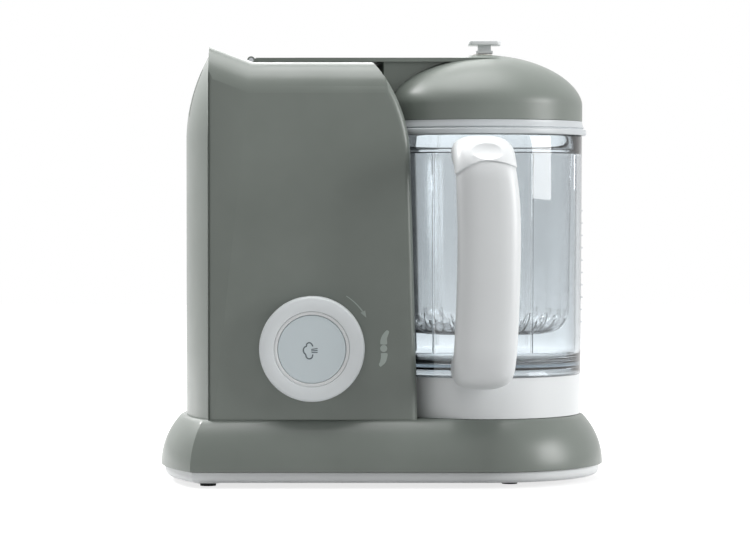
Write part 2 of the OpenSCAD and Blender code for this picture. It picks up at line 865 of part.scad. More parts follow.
module boiler_bracket() {
  from_jug() color("#a8acb0") at_boiler()
    eared_ring(pot_flange_r, pot_r + push_fit, bracket_z, bracket_z + bracket_t, screw_hole_r);
}

module boiler_screws() {
  from_jug() color("#9a9a9a") at_boiler() at_ears() {
    translate([0, 0, bracket_z - 2.2]) screw(2.8, 2.2, screw_r, roof_under - 0.6 - bracket_z);
    tube(ear_r - 0.5, screw_r + 0.3, bracket_z + bracket_t, pot_top_z);
  }
}

module heater_element() {
  from_jug() color("#6f6a66") at_boiler() {
    translate([0, 0, pot_low_z - heater_tube_r]) rotate([0, 0, 20]) rotate_extrude(angle = 320)
      translate([heater_r, 0]) circle(r = heater_tube_r, $fn = 32);
    for (a = [20, 340]) rotate(a) translate([heater_r, 0, 0])
      rod(2, pot_low_z - heater_tube_r - 12, pot_low_z - heater_tube_r);
  }
}

module boiler_thermostat() {
  from_jug() color("#e8e0d0") at_boiler() {
    rod(9, pot_low_z - 7, pot_low_z);
    for (x = [-5, 5]) translate([x - 1.6, -0.4, pot_low_z - 14]) cube([3.2, 0.8, 7 + eps]);
  }
}

module control_board() {
  from_jug() color("#2f6b45") difference() {
    union() {
      translate([board_x - board_w / 2, board_y, knob_z - board_h / 2]) cube([board_w, board_t, board_h]);
      // relay, capacitor and connector on the back
      translate([board_x - 26, board_y + board_t - eps, knob_z - 14]) cube([16, 4, 12]);
      translate([board_x + 8, board_y + board_t - eps, knob_z + 6]) cube([14, 4, 10]);
      translate([board_x - 8, board_y + board_t - eps, knob_z - 28]) cube([20, 4, 7]);
    }
    at_board_screws() rod_y(post_hole_r + 0.25, board_y - 1, board_y + board_t + 1);
  }
}

module board_screws() {
  from_jug() color("#9a9a9a") at_board_screws() {
    rod_y(post_hole_r - 0.05, board_y - 8, board_y + board_t + 1);
    rod_y(2.4, board_y + board_t, board_y + board_t + 1.6);
  }
}

module switch_body() {
  from_jug() color("#3a3a3a") at_knob() difference() {
    translate([-switch_size / 2, switch_front, -switch_size / 2])
      cube([switch_size, switch_depth, switch_size]);
    rod_y(knob_hub_r + 0.1, switch_front - 1, hub_end + 0.4);
    rod_y(button_stem_r + 0.2, switch_front - 1, board_y - 0.5);
  }
}

module lid_microswitch() {
  from_jug() color("#26262a") {
    translate([switch_rib_x, switch_rib_y - 6.4, roof_under - 14]) cube([switch_rib_w, 6.4, 10]);
    translate([switch_rib_x + 4, switch_rib_y - 4.2, roof_under - 4 - eps]) cube([2, 2, 1.6]);
  }
}

// ---- motor ----

// frame cup with side windows
module motor_cup(low, top, windows) {
  difference() {
    tube(motor_r, motor_r - frame_wall, low, top);
    for (a = [0:360 / windows:359]) rotate(a + 180 / windows) translate([motor_r - 6, -6, low + 3])
      cube([12, 12, top - low - 6]);
  }
}

module motor_end_bottom() {
  from_jug() color("#b9bcc0") at_motor() {
    motor_cup(frame_z, stator_z, 6);
    tube(motor_r - 1, rotor_shaft_r + run_fit, frame_z, frame_z + end_plate_t);
    tube(bearing_hub_r, rotor_shaft_r + run_fit, frame_z, frame_z + 9);
  }
}

module motor_end_top() {
  from_jug() color("#b9bcc0") at_motor() difference() {
    union() {
      motor_cup(stator_top_z, stator_top_z + end_top_h, 6);
      tube(
        motor_r - 1, rotor_shaft_r + run_fit,
        stator_top_z + end_top_h - end_plate_t, stator_top_z + end_top_h
      );
      tube(bearing_hub_r, rotor_shaft_r + run_fit, commutator_z + commutator_h + 1, stator_top_z + end_top_h);
    }
    translate([-motor_r - 1, -brush_w / 2 - 0.1, brush_z - 0.1])
      cube([2 * motor_r + 2, brush_w + 0.2, brush_h + 0.2]);
  }
}

module brush_holders() {
  from_jug() color("#8a6a3c") at_motor() for (side = [0, 180]) rotate(side)
    translate([commutator_r + 0.4, -brush_w / 2, brush_z])
      cube([motor_r - commutator_r - 0.4, brush_w, brush_h]);
}

module motor_stator() {
  from_jug() color("#7a7d80") at_motor() {
    difference() {
      union() {
        rod(motor_r, stator_z, stator_top_z);
        rod(rotor_r + air_gap + 8, stator_top_z - eps, stator_top_z + winding_h - 1);
      }
      rod(rotor_r + air_gap, stator_z - 1, stator_top_z + winding_h + 1);
    }
  }
}

module motor_plate() {
  from_jug() color("#a8acb0") at_motor() difference() {
    translate([0, 0, plate_low_z])
      rounded_plate(2 * (motor_screw_x + plate_edge), 2 * (motor_screw_y + plate_edge), plate_edge, plate_t);
    rod(bearing_hub_r + 4, plate_low_z - 1, plate_low_z + plate_t + 1);
    at_all(motor_screws_at) rod(motor_screw_r + 0.1, plate_low_z - 1, plate_low_z + plate_t + 1);
  }
}

module motor_grommets() {
  from_jug() color("#222222") at_motor() at_all(motor_screws_at)
    tube(grommet_r, motor_screw_r + 0.1, base_top_z, plate_low_z);
}

module motor_screws() {
  from_jug() color("#9a9a9a") at_motor() at_all(motor_screws_at) translate([0, 0, frame_z + 2.4])
    mirror([0, 0, 1]) screw(3.4, 2.4, motor_screw_r, frame_z - deck_z + 8.4);
}

module rotor_shaft() {
  from_jug() color("#c8c8cc") at_motor() rod(rotor_shaft_r, pulley_low_z - 2.5, stator_top_z + end_top_h + 2);
}

module rotor_core() {
  from_jug() color("#8d6b4a") at_motor() difference() {
    tube(rotor_r, rotor_shaft_r + push_fit, stator_z, stator_top_z);
    for (a = [0:30:330])
      rotate(a) translate([rotor_r - 1.6, -0.8, stator_z - 1]) cube([3, 1.6, stator_h + 2]);
  }
}

module commutator() {
  from_jug() color("#b87333") at_motor()
    tube(commutator_r, rotor_shaft_r + push_fit, commutator_z, commutator_z + commutator_h);
}

module motor_fan() {
  from_jug() color("#d8d8d2") at_motor() {
    tube(bearing_hub_r - 1, rotor_shaft_r + push_fit, frame_z + 10, frame_z + 15.5);
    tube(fan_r, bearing_hub_r - 1.5, frame_z + 10, frame_z + 11.4);
    for (a = [0:40:320]) rotate(a) translate([bearing_hub_r - 1.5, -0.6, frame_z + 11])
      cube([fan_r - bearing_hub_r + 1, 1.2, 4.5]);
  }
}

// ---- jug ----

module bowl_jar() {
  from_jug() color("#d9e2e4", 0.4) difference() {
    rotate_extrude($fn = 128) polygon(concat(
      [[bush_r + 0.05, jug_under_z], [jug_inner_r - 1, jug_under_z], [jug_inner_r, jug_under_z - 1],
       [jug_inner_r, collar_top_z], [jug_foot_r, collar_top_z], [jug_r, jug_rim_z - 6], [jug_r, jug_rim_z],
       [rim_inner_r, jug_rim_z], [rim_inner_r, ledge_z], [ledge_r, ledge_z],
       [jug_inner_r + 0.2, jug_floor_z + floor_corner + 4]],
      arc(jug_inner_r - floor_corner, jug_floor_z + floor_corner, floor_corner, 0, -90, 6),
      [[bush_r + 0.05, jug_floor_z]]
    ));
    rod(bush_r + 0.04, jug_under_z - 1, jug_floor_z + 1);
  }
}

module bowl_collar() {
  from_jug() color("white") {
    difference() {
      union() {
        tube(collar_r, collar_r - jug_wall, base_top_z + seat_gap, collar_top_z);
        tube(collar_r - jug_wall + eps, bush_r + 0.1, nut_top_z, collar_top_z);
        tube(bush_flange_r + 2, bush_r + 0.1, collar_top_z - eps, jug_under_z);
      }
    }
    for (a = bayonet_turn)
      rotate(a) bayonet_lug(bayonet_r + 1.8, collar_r - jug_wall + eps, base_top_z + 3, 3.6);
  }
}

module blade_bush() {
  from_jug() color("#8f9498") {
    tube(bush_r, blade_shaft_r + run_fit, bush_low_z, bush_top_z);
    tube(bush_flange_r, bush_r - eps, bush_flange_z, bush_flange_z + 2);
  }
}

module blade_seal() {
  from_jug() color("#55585a") tube(bush_flange_r, bush_r + push_fit, jug_floor_z, bush_flange_z);
}

module blade_nut() {
  from_jug() color("#8f9498") difference() {
    translate([0, 0, bush_low_z]) cylinder(r = 12, h = nut_top_z - bush_low_z, $fn = 6);
    rod(bush_r + push_fit, bush_low_z - 1, nut_top_z + 1);
  }
}

module steam_basket() {
  corner = 13;
  from_jug() color("#eef0ee", 0.6) difference() {
    rotate_extrude($fn = 128) polygon(concat(
      [[0, basket_low_z]],
      arc(basket_r - 1.5 - corner, basket_low_z + corner, corner, -90, 0, 8),
      [[basket_r, ledge_z], [rim_inner_r - 0.2, ledge_z], [rim_inner_r - 0.2, ledge_z + 2],
       [basket_r - basket_wall, ledge_z + 2]],
      arc(basket_r - 1.5 - corner, basket_low_z + corner, corner - basket_wall, 0, -90, 8),
      [[0, basket_low_z + basket_wall]]
    ));
    // drain slots in the floor and round its corner
    for (a = [0:15:345])
      rotate(a + 7.5) translate([30, -1.2, basket_low_z - 1]) cube([basket_r - 30, 2.4, 9]);
    for (a = [0:30:330]) rotate(a) translate([10, -1.4, basket_low_z - 1]) cube([16, 2.8, 4]);
  }
}

// ---- handle ----

// side outline of the handle: forward reach against height
function handle_outline() = concat(
  [[50, handle_low_z]],
  arc(handle_reach - handle_corner, handle_low_z + handle_corner, handle_corner, -90, 0, 8),
  arc(handle_reach - handle_corner, handle_top_z - handle_corner, handle_corner, 0, 90, 8),
  [[50, handle_top_z]]
);

function handle_gap() = concat(
  [[40, bridge_low_z]],
  arc(grip_back - gap_corner, bridge_low_z + gap_corner, gap_corner, -90, 0, 5),
  arc(grip_back - gap_corner, bridge_top_z - gap_corner, gap_corner, 0, 90, 5),
  [[40, bridge_top_z]]
);

// extrudes a side outline across the handle, pointing to the front
module across(w) {
  translate([w / 2, 0, 0]) rotate([90, 0, -90]) linear_extrude(w) children();
}

module grip_pocket(grow) {
  translate([-handle_w / 2 + 5 - grow, -grip_back - 4 - grow, grip_cover_low - grow])
    cube([handle_w - 10 + 2 * grow, 4 + 2 * grow, grip_cover_top - grip_cover_low + 2 * grow]);
}

module handle_grip() {
  grip_round = 9;
  from_jug() color("white") difference() {
    intersection() {
      difference() {
        across(handle_w) polygon(handle_outline());
        across(handle_w + 2) polygon(handle_gap());
      }
      // rounded front corners
      union() {
        translate([-handle_w / 2, -handle_reach + grip_round, 0]) cube([handle_w, handle_reach, jug_rim_z]);
        translate([-handle_w / 2 + grip_round, -handle_reach, 0])
          cube([handle_w - 2 * grip_round, handle_reach, jug_rim_z]);
        for (x = [-1, 1]) translate([x * (handle_w / 2 - grip_round), -handle_reach + grip_round, 0])
          cylinder(r = grip_round, h = jug_rim_z);
      }
    }
    rod(jug_r + jug_gap, handle_low_z - 1, handle_top_z + 1);
    grip_pocket(0.1);
    for (z = [grip_cover_low + 10, grip_cover_top - 10]) translate([0, 0, z])
      rod_y(screw_hole_r, -grip_back - 14, -grip_back - 3);
  }
}

module handle_inner() {
  from_jug() color("#f2f4f5") difference() {
    grip_pocket(0);
    for (z = [grip_cover_low + 10, grip_cover_top - 10]) translate([0, 0, z]) {
      rod_y(screw_hole_r + 0.2, -grip_back - 6, -grip_back + 1);
      rod_y(3, -grip_back - 2, -grip_back + 1);
    }
  }
}

module handle_screws() {
  from_jug() color("#9a9a9a") for (z = [grip_cover_low + 10, grip_cover_top - 10]) translate([0, 0, z]) {
    rod_y(2.8, -grip_back - 2, -grip_back - 0.2);
    rod_y(screw_r, -grip_back - 12, -grip_back - 1.9);
  }
}

// ---- lid ----

// height of the dome's surface at a radius, for an outline drawn in by s
function dome_z(r, s) = dome_spring_z
  + (dome_rise - s) * pow(max(0, 1 - pow(r / (jug_r - s), 2)), 1 / dome_power);

function dome_curve(s) = [for (a = [0:6:90]) let (r = (jug_r - s) * cos(a)) [r, dome_z(r, s)]];

module lid_dome() {
  from_jug() color("#b9c0bc") difference() {
    rotate_extrude($fn = 128) polygon(concat(
      [[jug_r - dome_wall, dome_low_z], [jug_r, dome_low_z]],
      dome_curve(0),
      [[0, dome_spring_z + dome_rise - dome_wall]],
      [for (i = [14:-1:0]) dome_curve(dome_wall)[i]]
    ));
    rod(nozzle_r + 0.2, dome_spring_z, dome_spring_z + dome_rise + 1);
  }
}

module lid_ring() {
  from_jug() color("white") rotate_extrude($fn = 128) polygon([
    [plug_r - plug_wall, plug_low_z], [plug_r, plug_low_z],
    [plug_r, ring_low_z + 1.6], [rim_inner_r + 0.1, ring_low_z + 1.6],
    [rim_inner_r + 0.1, ring_low_z + 2], [jug_r - 0.1, ring_low_z + 2], [jug_r - 0.1, ring_low_z],
    [ring_band_r - 0.4, ring_low_z], [ring_band_r, ring_low_z + 0.6], [ring_band_r, ring_low_z + 2.8],
    [ring_band_r - 0.3, ring_low_z + 3.4], [jug_r + 0.3, ring_low_z + 3.6], [jug_r + 0.3, ring_low_z + 4.2],
    [jug_r + 1, ring_low_z + 4.5], [jug_r + 0.9, ring_low_z + 5.2],
    [jug_r + 0.1, dome_low_z - 1.6], [jug_r, dome_low_z],
    [plug_r - plug_wall, dome_low_z]
  ]);
}

module lid_gasket() {
  from_jug() color("#9aa09e") tube(jug_r - 0.3, rim_inner_r + 0.3, jug_rim_z + seat_gap, ring_low_z + 2);
}

// outline of the arm seen from the front, drawn in by s at the top
function arm_outline(s, low) = [
  [hinge_x - 1.6, low], [hinge_x - 2.6, hinge_z + 0.2], [hinge_x - 1.6, hinge_z + 2.2],
  [-128, 260.2 - s], [-112, 261.5 - s], [-66, 264.2 - s],
  [-21, 267.2 - s], [-17, 268.6 - s], [-13, 269.2 - s],
  [10, 269.2 - s], [14, 268.4 - s], [18, 266.6 - s], [22, 264.4 - s], [arm_end_x, 262.2 - s], [arm_end_x, low]
];

// plan of the arm, drawn in by s
module arm_plan(s) {
  union() {
    translate([arm_round_x, 0]) circle(r = arm_half - s, $fn = 96);
    polygon([
      [arm_round_x, arm_half - s], [hinge_x - 4 + s, arm_hinge_half - s],
      [hinge_x - 4 + s, s - arm_hinge_half], [arm_round_x, s - arm_half]
    ]);
  }
}

module arm_block(s, low) {
  intersection() {
    translate([0, arm_half + 5, 0]) rotate([90, 0, 0])
      linear_extrude(2 * arm_half + 10) polygon(arm_outline(s, low));
    translate([0, 0, low - 1]) linear_extrude(30) arm_plan(s);
  }
}

module hinge_room(half, from, to) {
  translate([hinge_x, 0, hinge_z]) rod_y(half, from, to);
}

module arm_cover() {
  skirt_end = hinge_x + knuckle_r + 0.3;
  from_jug() color("white") difference() {
    union() {
      difference() {
        arm_block(0, arm_low_z);
        intersection() {
          arm_block(arm_wall, arm_low_z - 1);
          translate([skirt_end, -arm_half, arm_low_z - 2]) cube([200, 2 * arm_half, 40]);
        }
      }
      intersection() {
        translate([pocket_x - pocket_l / 2 - 2, -lock_w / 2 - 3, pocket_floor - 1.8])
          cube([pocket_l + 4, lock_w + 6, 4]);
        arm_block(0, arm_low_z);
      }
    }
    // room for the dome, the hinge knuckles and the tower's ears
    rotate_extrude($fn = 96) polygon(concat([[0, arm_low_z - 5]], dome_curve(-0.1)));
    translate([hinge_x - 6, -arm_half - 1, arm_low_z - 2])
      cube([6 + knuckle_r + 0.4, 2 * arm_half + 2, hinge_z + knuckle_r - arm_low_z + 2.3]);
    translate([pocket_x - pocket_l / 2, -lock_w / 2 - 0.4, pocket_floor]) cube([pocket_l, lock_w + 0.8, 10]);
    translate([lock_x - stem_l / 2 - lock_travel - 0.4, -stem_w / 2 - 0.4, pocket_floor - 5])
      cube([stem_l + lock_travel + 0.8, stem_w + 0.8, 8]);
  }
}

module arm_base() {
  plate_left = hinge_x + knuckle_r + 0.6;
  from_jug() color("#9aa19d") difference() {
    union() {
      // bottom plate inside the cover
      intersection() {
        translate([0, 0, arm_low_z]) linear_extrude(arm_plate_t) arm_plan(arm_wall + 0.2);
        translate([plate_left, -arm_half, 0]) cube([200, 2 * arm_half, 300]);
      }
      // neck down to the dome
      intersection() {
        translate([-neck_reach, -neck_half, neck_low_z])
          cube([neck_reach, 2 * neck_half, arm_low_z - neck_low_z + eps]);
        rod(neck_reach, neck_low_z, arm_low_z + 1);
      }
      // knuckles
      hinge_room(knuckle_r, -knuckle_half, knuckle_half);
      hinge_room(knuckle_r, ear_high + free_gap, pin_half);
      hinge_room(knuckle_r, -pin_half, -ear_high - free_gap);
      for (y = [
        [-knuckle_half, knuckle_half], [ear_high + free_gap, pin_half], [-pin_half, -ear_high - free_gap]
      ])
        translate([hinge_x, y[0], arm_low_z + 0.2]) cube([knuckle_r + 3, y[1] - y[0], 1.8]);
      // walls of the steam duct
      for (y = [-duct_half - 1.2, duct_half]) translate([-boiler_x - 5, y, arm_low_z + arm_plate_t - eps])
        cube([boiler_x - 8, 1.2, 1]);
    }
    // hollow of the neck and room for the dome
    intersection() {
      translate([-neck_reach, -neck_half + arm_wall, neck_low_z - 1])
        cube([neck_reach, 2 * (neck_half - arm_wall), arm_low_z - neck_low_z + 1]);
      rod(neck_reach - arm_wall, neck_low_z - 1, arm_low_z);
    }
    rotate_extrude($fn = 96) polygon(concat([[0, 200], [jug_r + 0.1, 200]], dome_curve(-0.1)));
    hinge_room(pin_r + run_fit, -pin_half - 1, pin_half + 1);
    at_boiler() rod(steam_hole_r, arm_low_z - 1, arm_low_z + 4);
    rod(nozzle_r + 0.1, arm_low_z - 1, arm_low_z + 4);
  }
}

module boiler_seal() {
  from_jug() color("#8d9391") at_boiler() union() {
    tube(mouth_r - 0.8, steam_hole_r, roof_z - 0.9, arm_low_z);
  }
}

module steam_nozzle() {
  from_jug() color("#dfe2e0") difference() {
    union() {
      rod(nozzle_r, nozzle_low_z, dome_top_z + 0.3);
      rod(nozzle_r + 4, dome_top_z - dome_wall - 2.7, dome_top_z - dome_wall - 0.7);
    }
    rod(nozzle_bore_r, nozzle_low_z - 1, dome_top_z + 1);
  }
}

module lock_button() {
  low = pocket_floor + seat_gap;
  from_jug() color("#eceeef") translate([lock_x, 0, 0]) {
    translate([0, 0, low]) rounded_plate(lock_l, lock_w, 3, 2.6);
    for (x = [-4, 0, 4]) translate([x - 0.6, -lock_w / 2 + 3, low + 2.6 - eps]) cube([1.2, lock_w - 6, 0.5]);
    translate([-stem_l / 2, -stem_w / 2, low - 5]) cube([stem_l, stem_w, 5 + eps]);
    translate([-stem_l / 2 - 1, -stem_w / 2 - 2, low - 5]) cube([stem_l + 2, stem_w + 4, 1.6]);
  }
}

// ---- controls ----

module knob_ring() {
  from_jug() color("#7d8480") at_knob() translate([0, front_y - knob_back, 0]) rotate([90, 0, 0]) {
    difference() {
      union() {
        rotate_extrude($fn = 128) polygon([
          [0, 0], [knob_r - 0.6, 0], [knob_r, 0.8],
          [knob_r, knob_depth - 3.6], [knob_r - 1.4, knob_depth - 1.4],
          [knob_r - 3.6, knob_depth - knob_back], [0, knob_depth - knob_back]
        ]);
        translate([0, 0, front_y - knob_back - hub_end]) cylinder(r = knob_hub_r, h = hub_end - front_y + 1);
      }
      translate([0, 0, knob_web]) cylinder(r = light_ring_out + 0.05, h = knob_depth, $fn = 96);
      translate([0, 0, -40]) cylinder(r = button_stem_r + 0.1, h = 60);
    }
  }
}

module knob_light_ring() {
  from_jug() color("#c7d1d3") at_knob() translate([0, front_y - knob_back, 0]) rotate([90, 0, 0])
    tube(light_ring_out, button_r + 0.1, knob_web, knob_depth - knob_back - 0.4);
}

module steam_button() {
  face = knob_depth - knob_back - 0.6;
  from_jug() color("#dfe5e7") at_knob() translate([0, front_y - knob_back, 0]) rotate([90, 0, 0]) {
    difference() {
      rod(button_r, face - 6, face);
      rod(button_r - 2, face - 7, face - 2.4);
    }
    rod(button_stem_r, front_y - knob_back - stem_end + button_travel + 1, face - 2);
  }
}

module button_spring() {
  coils = 4;
  low = knob_web;
  high = knob_depth - knob_back - 3;
  from_jug() color("#b8bcc0") at_knob() translate([0, front_y - knob_back, 0]) rotate([90, 0, 0]) union() {
    for (i = [0:coils]) translate([0, 0, low + 0.6 + (high - low - 1.2) * i / coils]) rotate_extrude()
      translate([7, 0]) circle(r = 0.6, $fn = 24);
    for (a = [45:90:315]) rotate(a) translate([7, 0, low + 0.5]) cylinder(r = 0.45, h = high - low - 1);
  }
}

base_cover();
base_tray();
foot_pads();
case_screws();
cord_gland();
spindle_housing();
spindle_bearings();
drive_belt();
tower_shell();
front_marks();
boiler_pot();
boiler_collar();
heater_element();
boiler_thermostat();
boiler_bracket();
boiler_screws();
control_board();
board_screws();
switch_body();
lid_microswitch();
motor_stator();
motor_end_top();
motor_end_bottom();
brush_holders();
motor_plate();
motor_grommets();
motor_screws();
hinge_pin();
rotor_shaft();
rotor_core();
commutator();
motor_fan();
motor_pulley();
drive_shaft();
driven_pulley();
drive_coupling();
blade_shaft();
blade_coupling();
blades();
bowl_jar();
bowl_collar();
handle_grip();
handle_inner();
handle_screws();
blade_bush();
blade_seal();
blade_nut();
steam_basket();
lid_dome();
lid_ring();
lid_gasket();
arm_cover();
arm_base();
boiler_seal();
steam_nozzle();
lock_button();
knob_ring();
knob_light_ring();
steam_button();
button_spring();
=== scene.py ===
"""Baby food maker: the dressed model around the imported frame."""
import json
import math

import bpy
from mathutils import Matrix, Vector


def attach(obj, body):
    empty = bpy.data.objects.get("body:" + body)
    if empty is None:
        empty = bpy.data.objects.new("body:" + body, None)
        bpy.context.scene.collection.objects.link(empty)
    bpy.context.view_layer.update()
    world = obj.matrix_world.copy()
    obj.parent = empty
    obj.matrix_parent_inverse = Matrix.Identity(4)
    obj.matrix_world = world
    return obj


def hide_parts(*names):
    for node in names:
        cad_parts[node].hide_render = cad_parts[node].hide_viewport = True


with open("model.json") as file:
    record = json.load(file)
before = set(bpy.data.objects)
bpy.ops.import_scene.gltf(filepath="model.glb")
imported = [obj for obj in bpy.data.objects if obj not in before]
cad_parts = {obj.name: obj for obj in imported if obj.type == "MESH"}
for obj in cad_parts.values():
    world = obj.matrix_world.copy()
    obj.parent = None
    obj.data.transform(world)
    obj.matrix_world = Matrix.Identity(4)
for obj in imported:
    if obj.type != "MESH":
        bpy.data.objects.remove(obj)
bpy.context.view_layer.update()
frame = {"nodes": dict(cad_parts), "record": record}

MM = 0.001
# place of the jug's axis in the object's frame, in millimetres
AXIS_X, AXIS_Y = 62.0, 16.0


# ---- workshop helpers ----


def spot(x, y, z):
    """A place in millimetres from the jug's axis and the table, in the frame's metres."""
    return Vector(((x + AXIS_X) * MM, (y + AXIS_Y) * MM, z * MM))


def arc(x, z, r, start, end, steps):
    """Points on an arc, angles in degrees."""
    sweep = [math.radians(start + (end - start) * i / steps) for i in range(steps + 1)]
    return [(x + r * math.cos(a), z + r * math.sin(a)) for a in sweep]


def both_sides(profile):
    """A half profile and its mirror image as one outline."""
    return profile + [(-a, b) for a, b in reversed(profile)]


def only(piece):
    """Selects one piece in object mode."""
    if bpy.context.object and bpy.context.object.mode != "OBJECT":
        bpy.ops.object.mode_set(mode="OBJECT")
    bpy.ops.object.select_all(action="DESELECT")
    piece.select_set(True)
    bpy.context.view_layer.objects.active = piece


def edit(piece):
    only(piece)
    bpy.ops.object.mode_set(mode="EDIT")


def leave():
    bpy.ops.object.mode_set(mode="OBJECT")


def draw_line(name, places, closed=False):
    """An edge line through places, each drawn by extruding the last."""
    if bpy.context.object and bpy.context.object.mode != "OBJECT":
        leave()
    bpy.ops.object.select_all(action="DESELECT")
    bpy.ops.mesh.primitive_plane_add(size=MM, location=places[0])
    piece = bpy.context.object
    piece.name = piece.data.name = name
    bpy.ops.object.transform_apply(location=True, rotation=True, scale=True)
    bpy.context.tool_settings.mesh_select_mode = (True, False, False)
    bpy.ops.object.mode_set(mode="EDIT")
    bpy.ops.mesh.select_all(action="SELECT")
    bpy.ops.mesh.merge(type="CENTER")
    for a, b in zip(places, places[1:]):
        bpy.ops.mesh.extrude_region_move(TRANSFORM_OT_translate={"value": b - a})
    if closed:
        leave()
        for v in piece.data.vertices:
            v.select = v.index in (0, len(places) - 1)
        bpy.ops.object.mode_set(mode="EDIT")
        bpy.ops.mesh.edge_face_add()
    bpy.ops.mesh.select_all(action="SELECT")
    return piece


def tidy(piece, reach=0.002):
    """Joins what meets within a reach and turns the faces outwards."""
    edit(piece)
    bpy.ops.mesh.select_all(action="SELECT")
    bpy.ops.mesh.remove_doubles(threshold=reach * MM)
    bpy.ops.mesh.dissolve_degenerate(threshold=reach * MM)
    bpy.ops.mesh.normals_make_consistent(inside=False)
    leave()
    return piece


def slab(name, outline, flat, low, high):
    """A solid with an outline drawn in the plane "xy", "xz" or "yz", from low to high across it."""
    if flat == "xy":
        places, way = [spot(a, b, low) for a, b in outline], (0, 0, (high - low) * MM)
    elif flat == "xz":
        places, way = [spot(a, low, b) for a, b in outline], (0, (high - low) * MM, 0)
    else:
        places, way = [spot(low, a, b) for a, b in outline], ((high - low) * MM, 0, 0)
    piece = draw_line(name, places, closed=True)
    bpy.ops.mesh.edge_face_add()
    bpy.ops.mesh.extrude_region_move(TRANSFORM_OT_translate={"value": way})
    return tidy(piece)


def turned(name, profile, closed=True, steps=128, x=0.0, y=0.0):
    """A shape turned on an upright axis from (radius, height) points."""
    piece = draw_line(name, [spot(x + r, y, z) for r, z in profile], closed)
    bpy.ops.mesh.spin(steps=steps, angle=math.tau, center=spot(x, y, 0), axis=(0, 0, 1))
    return tidy(piece)


def turned_front(name, profile, x, z, front, closed=True, steps=128):
    """A shape turned on an axis that points to the front, from (radius, reach) points."""
    piece = draw_line(name, [spot(x + r, front - reach, z) for r, reach in profile], closed)
    bpy.ops.mesh.spin(steps=steps, angle=math.tau, center=spot(x, front, z), axis=(0, 1, 0))
    return tidy(piece)


def pick(piece, kind, test):
    """Selects what passes a test, in millimetres: a vertex by its place, an edge by both its ends,
    a face by its middle and the way it faces."""
    only(piece)
    bpy.context.tool_settings.mesh_select_mode = (kind == "VERT", kind == "EDGE", kind == "FACE")
    mesh = piece.data
    shift = Vector((AXIS_X, AXIS_Y, 0))
    places = [v.co / MM - shift for v in mesh.vertices]
    for v in mesh.vertices:
        v.select = kind == "VERT" and test(places[v.index])
    for e in mesh.edges:
        e.select = kind == "EDGE" and test(places[e.vertices[0]], places[e.vertices[1]])
    for f in mesh.polygons:
        f.select = kind == "FACE" and test(f.center / MM - shift, f.normal)
    bpy.ops.object.mode_set(mode="EDIT")


def round_edges(piece, test, width, segments=3):
    """Rounds the edges that pass a test."""
    pick(piece, "EDGE", test)
    bpy.ops.mesh.bevel(
        offset=width * MM, segments=segments, affect="EDGES", clamp_overlap=False, profile=0.5
    )
    leave()


def round_sharp(piece, width, segments=3, angle=35):
    """Rounds every edge sharper than an angle with a modifier."""
    only(piece)
    soft = piece.modifiers.new("rounding", "BEVEL")
    soft.width, soft.segments, soft.limit_method = width * MM, segments, "ANGLE"
    soft.angle_limit, soft.use_clamp_overlap = math.radians(angle), False
    soft.miter_outer = "MITER_ARC"
    bpy.ops.object.modifier_apply(modifier=soft.name)
    return piece


def carve(piece, tool, how="DIFFERENCE"):
    """Cuts one solid with another and throws the tool away."""
    only(piece)
    cut = piece.modifiers.new("cut", "BOOLEAN")
    cut.operation, cut.object, cut.solver = how, tool, "EXACT"
    bpy.ops.object.modifier_apply(modifier=cut.name)
    bpy.data.objects.remove(tool)
    return piece


def gather(name, parts):
    """Joins separate meshes into one piece."""
    only(parts[0])
    for p in parts:
        p.select_set(True)
    bpy.ops.object.join()
    piece = bpy.context.object
    piece.name = piece.data.name = name
    return piece


def swing(piece, turn, centre, axis):
    """Turns a piece in degrees about a line through a place in millimetres."""
    place = spot(*centre)
    spun = Matrix.Rotation(math.radians(turn), 4, Vector(axis))
    piece.matrix_world = Matrix.Translation(place) @ spun @ Matrix.Translation(-place)
    only(piece)
    bpy.ops.object.transform_apply(location=True, rotation=True, scale=True)
    return piece


def copied(piece, turn, centre=(0, 0, 0), axis=(0, 0, 1)):
    """A turned copy with its own mesh."""
    only(piece)
    bpy.ops.object.duplicate(linked=False)
    return swing(bpy.context.object, turn, centre, axis)


def moved_copy(piece, shift):
    """A copy with its own mesh, moved in millimetres."""
    only(piece)
    bpy.ops.object.duplicate(linked=False)
    twin = bpy.context.object
    edit(twin)
    bpy.ops.mesh.select_all(action="SELECT")
    bpy.ops.transform.translate(value=[s * MM for s in shift])
    leave()
    return twin


def finish_piece(piece, body, material, stands_for=(), angle=30):
    """Shades a piece, gives it its material and lets it ride on its body."""
    only(piece)
    bpy.ops.object.shade_smooth_by_angle(angle=math.radians(angle))
    piece.data.materials.clear()
    piece.data.materials.append(material)
    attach(piece, body)
    if stands_for:
        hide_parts(*stands_for)
    return piece


# ---- materials ----


def srgb(r, g, b):
    """A colour written in 0 to 255 as the linear colour that the shader takes."""
    parts = [c / 255 for c in (r, g, b)]
    return tuple(c / 12.92 if c <= 0.04045 else ((c + 0.055) / 1.055) ** 2.4 for c in parts) + (1,)


def material_parts(name):
    material = bpy.data.materials.new(name)
    material.use_nodes = True
    nodes, links = material.node_tree.nodes, material.node_tree.links
    return material, nodes, links, nodes["Principled BSDF"], nodes.new("ShaderNodeTexCoord")


def noise(nodes, links, where, scale, detail=3.0, rough=0.55):
    texture = nodes.new("ShaderNodeTexNoise")
    texture.inputs["Scale"].default_value = scale
    texture.inputs["Detail"].default_value = detail
    texture.inputs["Roughness"].default_value = rough
    links.new(where.outputs["Object"], texture.inputs["Vector"])
    return texture.outputs["Fac"]


